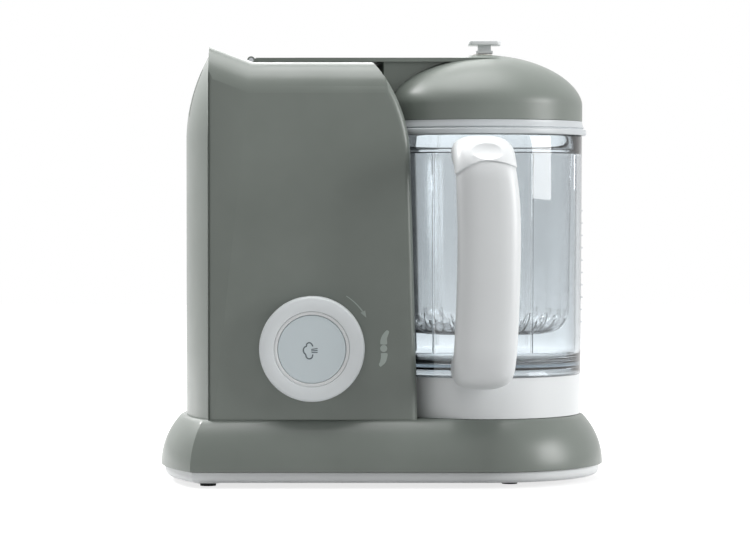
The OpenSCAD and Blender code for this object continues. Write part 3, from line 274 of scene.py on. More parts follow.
def ramp(nodes, links, source, low, high, start=0.35, end=0.65):
    """Runs a noise value between two colours."""
    band = nodes.new("ShaderNodeValToRGB")
    band.color_ramp.elements[0].position, band.color_ramp.elements[0].color = start, low
    band.color_ramp.elements[1].position, band.color_ramp.elements[1].color = end, high
    links.new(source, band.inputs["Fac"])
    return band.outputs["Color"]


def spread(nodes, links, source, low, high):
    """Runs a noise value between two numbers."""
    reach = nodes.new("ShaderNodeMapRange")
    reach.inputs["From Min"].default_value, reach.inputs["From Max"].default_value = 0.3, 0.7
    reach.inputs["To Min"].default_value, reach.inputs["To Max"].default_value = low, high
    links.new(source, reach.inputs["Value"])
    return reach.outputs["Result"]


def grain(nodes, links, shader, source, depth, strength=0.4):
    """Raises a fine surface texture, with its depth in millimetres."""
    bump = nodes.new("ShaderNodeBump")
    bump.inputs["Strength"].default_value = strength
    bump.inputs["Distance"].default_value = depth * MM
    links.new(source, bump.inputs["Height"])
    links.new(bump.outputs["Normal"], shader.inputs["Normal"])


def moulded(name, colour, rough=(0.3, 0.4), grain_scale=1800, grain_depth=0.01, level=0.5, drift=4):
    """Moulded plastic: a slight drift of colour, uneven gloss and a fine spark-eroded grain."""
    material, nodes, links, shader, where = material_parts(name)
    low = srgb(*[max(0, c - drift) for c in colour])
    high = srgb(*[min(255, c + drift) for c in colour])
    cloud = noise(nodes, links, where, 14)
    links.new(ramp(nodes, links, cloud, low, high), shader.inputs["Base Color"])
    smudge = noise(nodes, links, where, 45)
    links.new(spread(nodes, links, smudge, *rough), shader.inputs["Roughness"])
    shader.inputs["Specular IOR Level"].default_value = level
    shader.inputs["IOR"].default_value = 1.5
    grain(nodes, links, shader, noise(nodes, links, where, grain_scale, 2.0), grain_depth)
    return material


def metal(name, colour, rough=(0.2, 0.35), stretch=(1, 1, 12)):
    """Turned or drawn metal with fine lines one way."""
    material, nodes, links, shader, where = material_parts(name)
    lines = nodes.new("ShaderNodeMapping")
    lines.inputs["Scale"].default_value = stretch
    links.new(where.outputs["Object"], lines.inputs["Vector"])
    texture = nodes.new("ShaderNodeTexNoise")
    texture.inputs["Scale"].default_value = 400
    links.new(lines.outputs["Vector"], texture.inputs["Vector"])
    low = srgb(*[max(0, c - 12) for c in colour])
    links.new(ramp(nodes, links, texture.outputs["Fac"], low, srgb(*colour)), shader.inputs["Base Color"])
    links.new(spread(nodes, links, texture.outputs["Fac"], *rough), shader.inputs["Roughness"])
    shader.inputs["Metallic"].default_value = 1.0
    return material


def clear_plastic(name, tint, rough, haze=0.0, depth_tint=None, density=0.0, edge=None):
    """Clear moulded plastic with faint flow marks, a little white haze where it is cloudy, a tint
    through its depth, and painted shade that darkens its colour where the eye looks along a wall."""
    material, nodes, links, shader, where = material_parts(name)
    low = srgb(*[max(0, c - 3) for c in tint])
    flow = ramp(nodes, links, noise(nodes, links, where, 9), low, srgb(*tint))
    # Painted shade: where an edge colour is given, the colour darkens towards it where a wall is seen edge-on,
    # standing in for darker surroundings seen at the walls' edges.
    if edge:
        facing = nodes.new("ShaderNodeLayerWeight")
        facing.inputs["Blend"].default_value = 0.5
        rim = ramp(nodes, links, facing.outputs["Facing"], (1, 1, 1, 1), srgb(*edge), 0.5, 0.95)
        painted_edge_shade = nodes.new("ShaderNodeMix")
        painted_edge_shade.data_type, painted_edge_shade.blend_type = "RGBA", "MULTIPLY"
        colours_in = [i for i in painted_edge_shade.inputs if i.type == "RGBA"]
        painted_edge_shade.inputs[0].default_value = 1.0
        links.new(flow, colours_in[0])
        links.new(rim, colours_in[1])
        flow = [o for o in painted_edge_shade.outputs if o.type == "RGBA"][0]
    # The base colour is the flow marks, darkened by the painted edge shade when an edge colour is given.
    links.new(flow, shader.inputs["Base Color"])
    links.new(
        spread(nodes, links, noise(nodes, links, where, 60), rough, rough * 1.6 + 0.004),
        shader.inputs["Roughness"],
    )
    shader.inputs["Transmission Weight"].default_value = 1.0 - haze
    shader.inputs["IOR"].default_value = 1.49
    grain(nodes, links, shader, noise(nodes, links, where, 25, 1.0), 0.05, 0.1)
    if depth_tint:
        body = nodes.new("ShaderNodeVolumeAbsorption")
        body.inputs["Color"].default_value = srgb(*depth_tint)
        body.inputs["Density"].default_value = density
        links.new(body.outputs["Volume"], nodes["Material Output"].inputs["Volume"])
    return material


GREY = moulded("Warm grey satin shell", (121, 128, 122), (0.28, 0.35), 2400, 0.012, 0.5)
DOME_GREY = moulded("Warm grey satin dome", (124, 131, 125), (0.34, 0.42), 2400, 0.008, 0.5)
WHITE = moulded("White moulded plastic", (236, 239, 240), (0.30, 0.38), 1500, 0.006, drift=2)
ARM_WHITE = moulded("Glossy white arm", (240, 243, 245), (0.18, 0.26), 1500, 0.003, drift=2)
KNOB_WHITE = moulded("Pale knob plastic", (240, 245, 247), (0.34, 0.42), 2600, 0.008, drift=2)
BUTTON_BLUE = moulded("Cool pale button plastic", (221, 232, 236), (0.30, 0.38), 2600, 0.006, drift=2)
RING_WHITE = moulded("Lid ring plastic", (206, 211, 214), (0.32, 0.40), 1500, 0.006, drift=2)
INK = moulded("Pale grey printed marks", (176, 186, 180), (0.45, 0.55), 3000, 0.004, drift=3)
SYMBOL_INK = moulded("Dark grey button print", (96, 108, 114), (0.4, 0.5), 3000, 0.004, drift=3)
# Painted shade: the edge colours darken the jug and basket where their walls are seen edge-on.
CLEAR = clear_plastic("Clear jug plastic", (228, 233, 236), 0.01, depth_tint=(214, 220, 224), density=40, edge=(92, 100, 108))
MILKY = clear_plastic("Milky basket plastic", (254, 254, 254), 0.05, haze=0.015, edge=(236, 238, 240))
RUBBER = moulded("Black rubber", (34, 34, 35), (0.65, 0.8), 1200, 0.03, 0.3)
SILICONE = moulded("Grey silicone seal", (150, 156, 154), (0.5, 0.6), 1200, 0.01, 0.4)
TOUGH = moulded("Ivory engineering plastic", (216, 214, 203), (0.4, 0.5), 1600, 0.01)
DARK = moulded("Dark technical plastic", (52, 53, 56), (0.4, 0.52), 1600, 0.012)
STEEL = metal("Zinc plated steel", (190, 192, 196))
STAINLESS = metal("Ground stainless steel", (206, 208, 211), (0.16, 0.28))
BRONZE = metal("Sintered bronze", (176, 134, 84), (0.38, 0.5))
COPPER = metal("Copper winding", (190, 112, 72), (0.3, 0.42))
IRON = metal("Stacked iron sheets", (120, 120, 124), (0.4, 0.5), (1, 1, 60))
SHEATH = metal("Dark heater sheath", (92, 88, 86), (0.45, 0.6))
BOARD = moulded("Green circuit board", (38, 92, 58), (0.3, 0.4), 900, 0.01)

FINISH_OF = {
    "shell_grey": GREY, "dome_grey": DOME_GREY, "white_plastic": WHITE, "knob_plastic": KNOB_WHITE,
    "mark_ink": INK, "clear_plastic": CLEAR, "milky_plastic": MILKY, "rubber_black": RUBBER,
    "silicone": SILICONE, "engineering_plastic": TOUGH, "dark_plastic": DARK, "steel": STEEL,
    "stainless": STAINLESS, "bronze": BRONZE, "copper": COPPER, "lamination": IRON,
    "heater_sheath": SHEATH, "board_green": BOARD,
}


# ---- camera, light and floor ----


def set_camera():
    camera = bpy.data.objects.new("camera", bpy.data.cameras.new("camera"))
    bpy.context.scene.collection.objects.link(camera)
    camera.data.sensor_width, camera.data.lens = 36, 134.4
    camera.location = (-0.0043, -1.712, 0.1683)
    camera.rotation_euler = (math.radians(90 - 1.43), 0, 0)
    camera.data.clip_start, camera.data.clip_end = 0.05, 20
    bpy.context.scene.camera = camera


def soft_box(name, place, aim, size, watts):
    lamp = bpy.data.lights.new(name, "AREA")
    lamp.shape, lamp.size, lamp.energy = "SQUARE", size, watts
    box = bpy.data.objects.new(name, lamp)
    bpy.context.scene.collection.objects.link(box)
    box.location = place
    box.rotation_euler = (Vector(aim) - Vector(place)).to_track_quat("-Z", "Y").to_euler()


def white_for_eye(nodes, links, plain, bright):
    """A strength that is bright for the eye, in gloss and through clear plastic, and plain as light
    that a dull surface gathers."""
    path = nodes.new("ShaderNodeLightPath")
    seen = path.outputs["Is Camera Ray"]
    for ray in ("Is Glossy Ray", "Is Transmission Ray"):
        either = nodes.new("ShaderNodeMath")
        either.operation = "MAXIMUM"
        links.new(seen, either.inputs[0])
        links.new(path.outputs[ray], either.inputs[1])
        seen = either.outputs[0]
    straight = nodes.new("ShaderNodeMath")
    straight.operation = "LESS_THAN"
    straight.inputs[1].default_value = 0.5
    links.new(path.outputs["Diffuse Depth"], straight.inputs[0])
    both = nodes.new("ShaderNodeMath")
    both.operation = "MULTIPLY"
    links.new(seen, both.inputs[0])
    links.new(straight.outputs[0], both.inputs[1])
    reach = nodes.new("ShaderNodeMapRange")
    reach.inputs["To Min"].default_value, reach.inputs["To Max"].default_value = plain, bright
    links.new(both.outputs[0], reach.inputs["Value"])
    return reach.outputs["Result"]


def set_studio():
    bpy.context.scene.view_settings.view_transform = "Standard"
    world = bpy.data.worlds.new("studio")
    bpy.context.scene.world = world
    world.use_nodes = True
    nodes, links = world.node_tree.nodes, world.node_tree.links
    sky = nodes["Background"]
    sky.inputs["Color"].default_value = (1, 1, 1, 1)
    links.new(white_for_eye(nodes, links, 0.165, 1.0), sky.inputs["Strength"])
    soft_box("top box", (-0.1, -0.03, 1.3), (0, 0, 0.2), 1.0, 13)
    soft_box("left box", (-0.85, 0.5, 0.9), (-0.12, 0, 0.2), 0.5, 14)
    soft_box("right box", (1.4, -0.5, 0.5), (0, 0, 0.13), 0.7, 13.5)
    soft_box("back box", (-0.3, 1.25, 1.0), (-0.05, 0, 0.2), 0.9, 8)


def lay_floor():
    bpy.ops.object.select_all(action="DESELECT")
    bpy.ops.mesh.primitive_plane_add(size=6)
    floor = bpy.context.object
    floor.name = "studio_floor"
    material = bpy.data.materials.new("White studio floor")
    material.use_nodes = True
    nodes, links = material.node_tree.nodes, material.node_tree.links
    shader = nodes["Principled BSDF"]
    shader.inputs["Base Color"].default_value = (0.5, 0.5, 0.5, 1)
    shader.inputs["Roughness"].default_value = 1.0
    shader.inputs["Specular IOR Level"].default_value = 0.0
    shader.inputs["Emission Color"].default_value = (1, 1, 1, 1)
    where = nodes.new("ShaderNodeTexCoord")
    away = nodes.new("ShaderNodeVectorMath")
    away.operation = "LENGTH"
    links.new(where.outputs["Object"], away.inputs[0])
    fade = nodes.new("ShaderNodeMapRange")
    fade.inputs["From Min"].default_value, fade.inputs["From Max"].default_value = 0.25, 0.6
    fade.inputs["To Min"].default_value, fade.inputs["To Max"].default_value = 0.77, 1.0
    links.new(away.outputs["Value"], fade.inputs["Value"])
    glow = nodes.new("ShaderNodeMath")
    glow.operation = "MULTIPLY"
    links.new(fade.outputs["Result"], glow.inputs[0])
    links.new(white_for_eye(nodes, links, 0.0, 1.0), glow.inputs[1])
    links.new(glow.outputs[0], shader.inputs["Emission Strength"])
    floor.data.materials.append(material)


set_camera()
set_studio()
lay_floor()

slot_of = {s["node"]: s["material_slot"] for s in frame["record"]["subparts"]}
for node_name, cad_node in frame["nodes"].items():
    for place_in_node in cad_node.material_slots:
        place_in_node.material = FINISH_OF[slot_of[node_name]]

# ---- tower ----

TOWER_LEFT, TOWER_RIGHT, TOWER_HALF, TOWER_WALL = -182.3, -40.7, 60.8, 2.6
BASE_TOP, ROOF, SIDE_R, RECESS_R, ROLL_R = 40.3, 254.3, 121.6, 67.0, 22.0
RAMP_FOOT, RAMP_TILT, RIDGE_R = -139.5, math.degrees(math.atan(9.6 / 25.5)), 4.0
LEAN_R, LEAN_Z, SHOULDER_R, SHOULDER_Z, SHOULDER_CORNER = 105.0, 207.5, 89.0, 195.0, 3.5
SIDE_X = TOWER_LEFT + SIDE_R
CREASE_X = SIDE_X - math.sqrt(SIDE_R**2 - TOWER_HALF**2) + 0.4
HINGE_X, HINGE_Z, BOILER_X = -141.5, 256.2, -110.0


def tower_front(s, low):
    """The tower seen from the front, drawn in by s: leaning left side, ridge, roof and shoulder."""
    lean_x, shoulder_x = TOWER_LEFT - 0.3 + LEAN_R, -45.2 - SHOULDER_R
    up, along = math.sin(math.radians(RAMP_TILT)), math.cos(math.radians(RAMP_TILT))
    start = Vector((RAMP_FOOT - RIDGE_R * up, ROOF - RIDGE_R * along))
    away = start - Vector((lean_x, LEAN_Z))
    b = away.y * up - away.x * along
    run = -b + math.sqrt(b * b - away.dot(away) + (LEAN_R - RIDGE_R) ** 2)
    ridge = (start.x - run * along, start.y + run * up)
    ridge_from = math.degrees(math.atan2(ridge[1] - LEAN_Z, ridge[0] - lean_x))
    corner_z = ROOF - SHOULDER_CORNER
    corner_x = shoulder_x + math.sqrt((SHOULDER_R - SHOULDER_CORNER) ** 2 - (corner_z - SHOULDER_Z) ** 2)
    corner_to = math.degrees(math.atan2(corner_z - SHOULDER_Z, corner_x - shoulder_x))
    return (
        [(TOWER_LEFT - 0.3 + s, low)]
        + arc(lean_x, LEAN_Z, LEAN_R - s, 178.5, ridge_from, 20)
        + arc(*ridge, RIDGE_R - s, ridge_from, 90 - RAMP_TILT, 8)[1:]
        + [(RAMP_FOOT - s * math.tan(math.radians(RAMP_TILT / 2)), ROOF - s)]
        + arc(corner_x, corner_z, SHOULDER_CORNER - s, 90, corner_to, 6)
        + arc(shoulder_x, SHOULDER_Z, SHOULDER_R - s, corner_to, 0, 36)[1:]
        + [(TOWER_RIGHT - s, low)]
    )


def tower_plan(s, half, left):
    """The tower from above, back to a level left end: a hollow round the jug on its right."""
    recess = RECESS_R + s
    far = math.degrees(math.acos(-math.sqrt(recess**2 - half**2) / recess))
    return arc(0, 0, recess, 360 - far, far, 72) + [(left, half), (left, -half)]


def tower_sides(s, low):
    """The bulged left side, which leans in towards the ridge, and the straight part behind it."""
    lean = arc(SIDE_R - LEAN_R, LEAN_Z, LEAN_R - s, 0, 42, 28)
    sides = turned("sides", [(0, low), (SIDE_R - s, low)] + lean + [(0, lean[-1][1])], steps=256, x=SIDE_X)
    straight = slab("straight", tower_plan(s, TOWER_HALF + 2, CREASE_X + s), "xy", low, ROOF + 30)
    return carve(sides, straight, "UNION")


def rolled_top(s, low, roll, over):
    """Cross-section with rolled front and back top edges."""
    return both_sides(
        [(TOWER_HALF + over - s, low)]
        + arc(TOWER_HALF + over - roll, ROOF - roll, roll - s, 0, 90, 24)
    )


def tower_solid(name, s, low):
    """The tower's form drawn in by s."""
    body = slab(name, tower_front(s, low - 10), "xz", s - TOWER_HALF, TOWER_HALF - s)
    if s == 0:
        round_edges(
            body,
            lambda a, b: abs(a.y) > 60.7 and abs(a.y - b.y) < 1 and min(a.x, b.x) > -75
            and max(a.z, b.z) < 247,
            4.5,
            8,
        )
    top = slab("level_top", rolled_top(s, low - 10, ROLL_R, 0.15), "yz", RAMP_FOOT - 8, -20)
    ramp = slab(
        "ramp_top", rolled_top(s, -60, ROLL_R + 0.6, 0.3), "yz", RAMP_FOOT - 70, RAMP_FOOT + 190
    )
    swing(ramp, RAMP_TILT, (RAMP_FOOT, 0, ROOF), (0, 1, 0))
    carve(body, carve(top, ramp, "UNION"), "INTERSECT")
    carve(body, tower_sides(s, low), "INTERSECT")
    hollow = turned("hollow", [(0, low - 5), (RECESS_R + s, low - 5), (RECESS_R + s, 290), (0, 290)], steps=160)
    return carve(body, hollow)


def obround(half_w, low, high, steps=8):
    """An upright slot's outline with round ends."""
    return arc(0, high - half_w, half_w, 0, 180, steps) + arc(0, low + half_w, half_w, 180, 360, steps)


def make_tower():
    tower = tower_solid("tower_shell_skin", 0, BASE_TOP)
    carve(tower, tower_solid("cavity", TOWER_WALL, BASE_TOP - 10))
    mouth = turned("mouth", [(0, 245), (26.42, 245), (26.42, 260), (0, 260)], x=BOILER_X, steps=96)
    carve(tower, mouth)
    hub = turned_front("hub", [(0, -6), (7, -6), (7, 2), (0, 2)], -103.7, 83, -TOWER_HALF, steps=48)
    carve(tower, hub)
    slot_cut = slab("slot", obround(1.3, 222, 250.8), "yz", TOWER_LEFT - 6, TOWER_LEFT + 19)
    slots = [moved_copy(slot_cut, (0, 10 * i, 0)) for i in range(-2, 3)]
    bpy.data.objects.remove(slot_cut)
    carve(tower, gather("slots", slots))
    carve(tower, slab("trough", arc(HINGE_X, HINGE_Z, 3.0, 0, 348.75, 31), "xz", -26.4, 26.4))
    ear = arc(HINGE_X, HINGE_Z, 2.4, 0, 180, 14) + [(HINGE_X - 2.4, ROOF - 2), (HINGE_X + 2.4, ROOF - 2)]
    for low in (17.5, -21.5):
        carve(tower, slab("ear", ear, "xz", low, low + 4), "UNION")
    groove = [(CREASE_X - 0.1, -TOWER_HALF - 1), (CREASE_X + 0.1, -TOWER_HALF + 1.3), (CREASE_X + 2.6, -TOWER_HALF), (CREASE_X + 2.6, -TOWER_HALF - 1)]
    carve(tower, slab("front_crease", groove, "xy", BASE_TOP - 5, 275))
    carve(tower, slab("back_crease", [(x, -y) for x, y in groove], "xy", BASE_TOP - 5, 275))
    tidy(tower)
    finish_piece(tower, "base", GREY, ["tower_shell"])


# ---- base ----


def base_plan(r):
    """The base from above: straight sides, a round right end and a bulged left end."""
    bulge = math.degrees(math.asin(r / (r + 61)))
    return arc(0, 0, r, -90, 90, 64) + arc(-63, 0, r + 61, 180 - bulge, 180 + bulge, 48)


def bridged(name, loops, cap_test=None):
    """A skin over closed lines that follow each other, closed at its ends or only where a test picks."""
    piece = gather(name, [draw_line("loop", places, closed=True) for places in loops])
    edit(piece)
    bpy.context.tool_settings.mesh_select_mode = (False, True, False)
    bpy.ops.mesh.select_all(action="SELECT")
    bpy.ops.mesh.bridge_edge_loops()
    if not cap_test:
        bpy.ops.mesh.fill_holes(sides=0)
    leave()
    if cap_test:
        pick(piece, "EDGE", cap_test)
        bpy.ops.mesh.edge_face_add()
        leave()
    return tidy(piece)


def stepped_in(name, levels):
    """A shell that follows the base's plan through (half width, height) levels, closed at the last."""
    last = levels[-1][1]
    loops = [[spot(x, y, z) for x, y in base_plan(r)] for r, z in levels]
    return bridged(name, loops, lambda a, b: abs(a.z - last) < 0.001 and abs(b.z - last) < 0.001)


def thicken(piece, wall):
    """Gives a shell a wall on its inside."""
    only(piece)
    walls = piece.modifiers.new("wall", "SOLIDIFY")
    walls.thickness, walls.offset, walls.use_even_offset = wall * MM, -1, True
    bpy.ops.object.modifier_apply(modifier=walls.name)
    return piece


def make_base():
    foot_r, low, top, flare_r = 74.0, 9.7, BASE_TOP, 42.98

    def flare(z):
        return foot_r - flare_r + math.sqrt(flare_r**2 - (z - low) ** 2)

    heights = [low + (top - 0.9 - low) * i / 18 for i in range(19)]
    levels = [(foot_r - 0.5, low), (foot_r - 0.05, low + 0.45)]
    levels += [(flare(z), z) for z in heights[1:]]
    levels += [(flare(top) - 0.2, top - 0.35), (flare(top) - 0.6, top - 0.08), (flare(top) - 1.1, top)]
    cover = thicken(stepped_in("base_cover_skin", levels[1:]), 2.5)
    gland = turned("gland_hole", [(0, 62), (6.3, 62), (6.3, 76), (0, 76)], steps=48)
    swing(gland, -90, (0, 0, 0), (1, 0, 0))
    edit(gland)
    bpy.ops.mesh.select_all(action="SELECT")
    bpy.ops.transform.translate(value=[-120 * MM, 0, 20 * MM])
    leave()
    carve(cover, gland)
    finish_piece(cover, "base", GREY, ["base_cover"])

    ring = turned(
        "jug_seat_ring",
        [(48, 40.2), (51, 40.2), (51, 50.2), (50.4, 50.8), (48.6, 50.8), (48, 50.2)],
    )
    lug = slab("lug", [(50.5, -7.4), (55.0, -7.4), (55.2, 0), (55.0, 7.4), (50.5, 7.4)], "xy", 47.8, 50.8)
    lugs = [copied(lug, a) for a in (30, 150, 270)]
    bpy.data.objects.remove(lug)
    for part in lugs:
        carve(ring, part, "UNION")
    finish_piece(round_sharp(ring, 0.3, 2), "base", GREY)

    edge = arc(68.2, 6.8, 3.5, 0, -90, 10)
    tray = thicken(stepped_in("base_tray_skin", [(71.7, 9.7)] + edge), 2.4)
    boss = turned("boss", [(0, 4.6), (7.8, 4.6), (7.8, 2.4), (7.5, 1.8), (7.0, 1.6), (0, 1.6)], steps=48)
    bosses = [moved_copy(boss, (x, y, 0)) for x, y in ((-166.5, -50), (15, -38), (-166.5, 50), (15, 38))]
    bpy.data.objects.remove(boss)
    finish_piece(gather("base_tray_skin", [tray] + bosses), "base", WHITE, ["base_tray"])


# ---- jug ----


def make_jug():
    wall = (
        [(60.6, 65.0), (61.2, 198), (61.3, 209.7), (61.05, 210.3), (60.5, 210.5), (59.7, 210.5)]
        + [(59.15, 210.3), (58.9, 209.7), (58.9, 200.2), (58.7, 199.8), (58.3, 199.5), (58.15, 197)]
        + [(57.8, 84)] + arc(51.7, 78.4, 6.0, 0, -90, 10)
        + [(20, 72.4), (6.95, 72.4), (6.95, 69.8), (55.5, 69.8), (57.2, 69.3), (57.7, 68.2), (57.7, 65.0)]
    )
    jug = turned("bowl_jar_skin", wall, steps=160)
    rib = slab("rib", [(58.6, -1.2), (58.6, 1.2), (57.4, 0.7), (56.9, 0.25), (56.9, -0.25), (57.4, -0.7)], "xy", 79, 199)
    ribs = [copied(rib, a) for a in range(-2, 358, 60)]
    bpy.data.objects.remove(rib)
    carve(jug, gather("ribs", ribs), "UNION")
    tick = slab("tick", [(60.2, -4), (61.55, -4), (61.65, 0), (61.55, 4), (60.2, 4)], "xy", 96, 96.8)
    ticks = [moved_copy(tick, (0, 0, 7.6 * i)) for i in range(10)]
    bpy.data.objects.remove(tick)
    carve(jug, gather("ticks", ticks), "UNION")
    finish_piece(tidy(jug), "bowl", CLEAR, ["bowl_jar"])


def make_basket():
    corner = 13.0
    wall = (
        [(0, 89.7)]
        + arc(40.5, 89.7 + corner, corner, -90, 0, 12)
        + [(54.9, 199.7), (58.5, 199.7), (58.7, 199.9), (58.7, 201.4), (58.4, 201.7), (53.4, 201.7)]
        + [(53.1, 201.3)]
        + arc(40.5, 89.7 + corner, corner - 1.8, 0, -90, 12)
        + [(0, 91.5)]
    )
    basket = turned("steam_basket_skin", wall, closed=False, steps=144)
    slot = slab("slot", [(31, -1.1), (44, -1.3), (58, -1.5), (58, 1.5), (44, 1.3), (31, 1.1)], "xy", 88, 99)
    short = slab("short_slot", [(10, -1.4), (26, -1.4), (26, 1.4), (10, 1.4)], "xy", 88, 93)
    cuts = [copied(slot, a + 7.5) for a in range(0, 360, 15)]
    cuts += [copied(short, a) for a in range(0, 360, 30)]
    bpy.data.objects.remove(slot)
    bpy.data.objects.remove(short)
    carve(basket, gather("cuts", cuts))
    rib_line = arc(40.5, 89.7 + corner, corner - 1.9, -78, 4, 8) + arc(40.5, 89.7 + corner, corner - 3.4, 4, -78, 8)
    rib = slab("rib", rib_line, "xz", -0.7, 0.7)
    swing(rib, 14, (52, 0, 96), (0, 0, 1))
    ribs = [copied(rib, a) for a in range(0, 360, 15)]
    bpy.data.objects.remove(rib)
    carve(basket, gather("ribs", ribs), "UNION")
    finish_piece(basket, "bowl", MILKY, ["steam_basket"])


# ---- handle ----


def handle_shift(z):
    """The grip bows a little to the right of its ends."""
    return 0.3 - (3.2 * ((z - 150) / 51) ** 2 if z > 150 else 3.0 * ((150 - z) / 81) ** 2)


def handle_ring(outer, inner, width, squareness=2.7, steps=32):
    """A rounded cross-section between an outer and an inner point of the side view."""
    outer, inner = Vector(outer), Vector(inner)
    middle, out = (outer + inner) / 2, (outer - inner) / 2
    places = []
    for i in range(steps):
        a = math.tau * i / steps
        across = math.copysign(abs(math.cos(a)) ** (2 / squareness), math.cos(a)) * width / 2
        reach = math.copysign(abs(math.sin(a)) ** (2 / squareness), math.sin(a))
        y, z = middle + out * reach
        places.append(spot(across + handle_shift(z), y, z))
    return places


def handle_stations():
    """(outer point, inner point) pairs down the side view, from the jug's rim to its foot."""
    stations = [((y, 208.5), (y, 186.5)) for y in (-52, -62, -72)]
    for i in range(9):
        a = math.radians(90 * i / 8)
        stations.append((
            (-79.5 - 26 * math.sin(a), 182.5 + 26 * math.cos(a)),
            (-77 - 8.5 * math.sin(a), 178 + 8.5 * math.cos(a)),
        ))
    for z in (170, 155, 140, 125, 110, 97):
        bow = 0.45 * (1 - ((z - 134) / 48) ** 2)
        stations.append(((-105.5 - bow, z), (-85.5 - bow * 0.5, z)))
    for i in range(9):
        a = math.radians(90 * i / 8)
        stations.append((
            (-79.5 - 26 * math.cos(a), 85.5 - 26 * math.sin(a)),
            (-77 - 8.5 * math.cos(a), 93 - 8.5 * math.sin(a)),
        ))
    return stations + [((y, 59.5), (y, 84.5)) for y in (-72, -62, -52)]


def make_handle():
    loops = []
    for outer, inner in handle_stations():
        slimmer = 1.8 * min(1, max(0, (outer[1] - 172) / 24))
        loops.append(handle_ring(outer, inner, 37.0 - slimmer))
    grip = bridged("handle_grip_skin", loops)

    cap = moved_copy(grip, (0, 0, 0))
    edit(cap)
    bpy.ops.mesh.select_all(action="SELECT")
    bpy.ops.transform.shrink_fatten(value=0.8 * MM)
    leave()
    arch = [(-28, 181.0), (-19, 186.8), (-15, 189.8), (-10.5, 192.2), (-6, 193.7), (-1.7, 194.3), (4, 194.0)]
    arch += [(10, 192.7), (16.2, 190.3), (28, 183.5), (28, 212), (-28, 212)]
    carve(cap, slab("cap_part", arch, "xz", -120, -45), "INTERSECT")
    carve(grip, cap, "UNION")

    lean = math.radians(49)
    bpy.ops.object.select_all(action="DESELECT")
    bpy.ops.mesh.primitive_uv_sphere_add(
        segments=64, ring_count=32, radius=MM, rotation=(lean, 0, 0),
        location=spot(0.2, -79.5 - 29.6 * math.sin(lean), 182.5 + 29.6 * math.cos(lean)),
    )
    dish = bpy.context.object
    dish.scale = (14.2, 10.5, 4.8)
    bpy.ops.object.transform_apply(location=True, rotation=True, scale=True)
    carve(grip, dish)
    room = [(0, 40), (60.35, 40), (60.35, 65), (60.75, 65.1), (61.45, 200), (61.45, 216), (0, 216)]
    carve(grip, turned("jug_room", room))
    finish_piece(tidy(grip), "bowl", WHITE, ["handle_grip"])


# ---- lid ----


def make_lid():
    ring = turned("lid_ring_skin", [
        (55.5, 210.8), (57.9, 210.8), (57.9, 212.5), (59.0, 212.5), (59.0, 212.9), (61.2, 212.9),
        (61.2, 211.1), (61.4, 210.9), (63.2, 210.9), (63.55, 211.1), (63.75, 211.5), (63.8, 212.2),
        (63.8, 213.4), (63.65, 214.0), (63.2, 214.35), (61.9, 214.5), (61.6, 214.6), (61.6, 215.0),
        (62.1, 215.2), (62.3, 215.5), (62.2, 216.1), (61.5, 217.6), (61.35, 218.3), (61.3, 219.35),
        (55.5, 219.35),
    ])
    finish_piece(ring, "lid", RING_WHITE, ["lid_ring"])

    def curve(s, steps=28):
        places = []
        for i in range(steps + 1):
            r = (61.3 - s) * math.cos(math.pi / 2 * i / steps)
            rise = (31 - s) * max(0, 1 - (r / (61.3 - s)) ** 2) ** (1 / 1.75)
            places.append((r, 229.6 + rise))
        return [p for p in places if p[0] > 6.2] + [(6.2, 229.6 + (31 - s) * 0.9942)]

    outer = [(61.0, 219.45), (61.3, 219.8), (61.3, 229.0)] + curve(0)
    inner = curve(2.4)[::-1] + [(58.9, 219.45)]
    dome = turned("lid_dome_skin", outer + inner, steps=160)
    finish_piece(dome, "lid", DOME_GREY, ["lid_dome"])


ARM_LINE = [
    (-45, 266.6), (-21, 267.2), (-8, 267.4), (5, 267.4), (10, 267.3), (14, 266.9), (18, 266.0), (22, 264.4),
    (24.3, 262.2),
]


def arm_plan(s, height, slant):
    """The arm from above, drawn in by s: a round end that tapers to the hinge. It lies at a height
    over the hinge and rises along a slant to the nose."""
    plan = arc(-5.7, 0, 30 - s, -90.6, 90.6, 96) + [(-145.5 + s, 28.5 - s), (-145.5 + s, s - 28.5)]
    return [spot(x, y, height + slant * (x + 145.5)) for x, y in plan]


def arm_solid(name, s, low):
    """The arm drawn in by s: a rising back, a level top over the jug and a sloping nose, and a
    lower band that turns in all round."""
    back = [(-143.1 + s, low), (-144.1 + s, 256.4), (-143.1 + s, 258.4 - s), (-139, 258.9 - s)]
    back += [(-128, 260.0 - s), (-112, 261.4 - s), (-91, 263.6 - s), (-66, 265.7 - s)]
    nose = [(x - (s if x > 24 else 0), z - s) for x, z in ARM_LINE]
    body = slab(name, back + nose + [(24.3 - s, low + 2.6)], "xz", -31, 31)
    levels = [(s + 2.6, low - 1, 0), (s + 2.6, 253.6, 0.025), (s + 0.3, 256.4, 0.035), (s, 257.0, 0.035)]
    levels += [(s + 0.3, 259.5, 0.035), (s + 1.0, 264.5, 0.02), (s + 2.8, 269.3, 0), (s + 2.8, 275, 0)]
    return carve(body, bridged("arm_plan", [arm_plan(*level) for level in levels]), "INTERSECT")


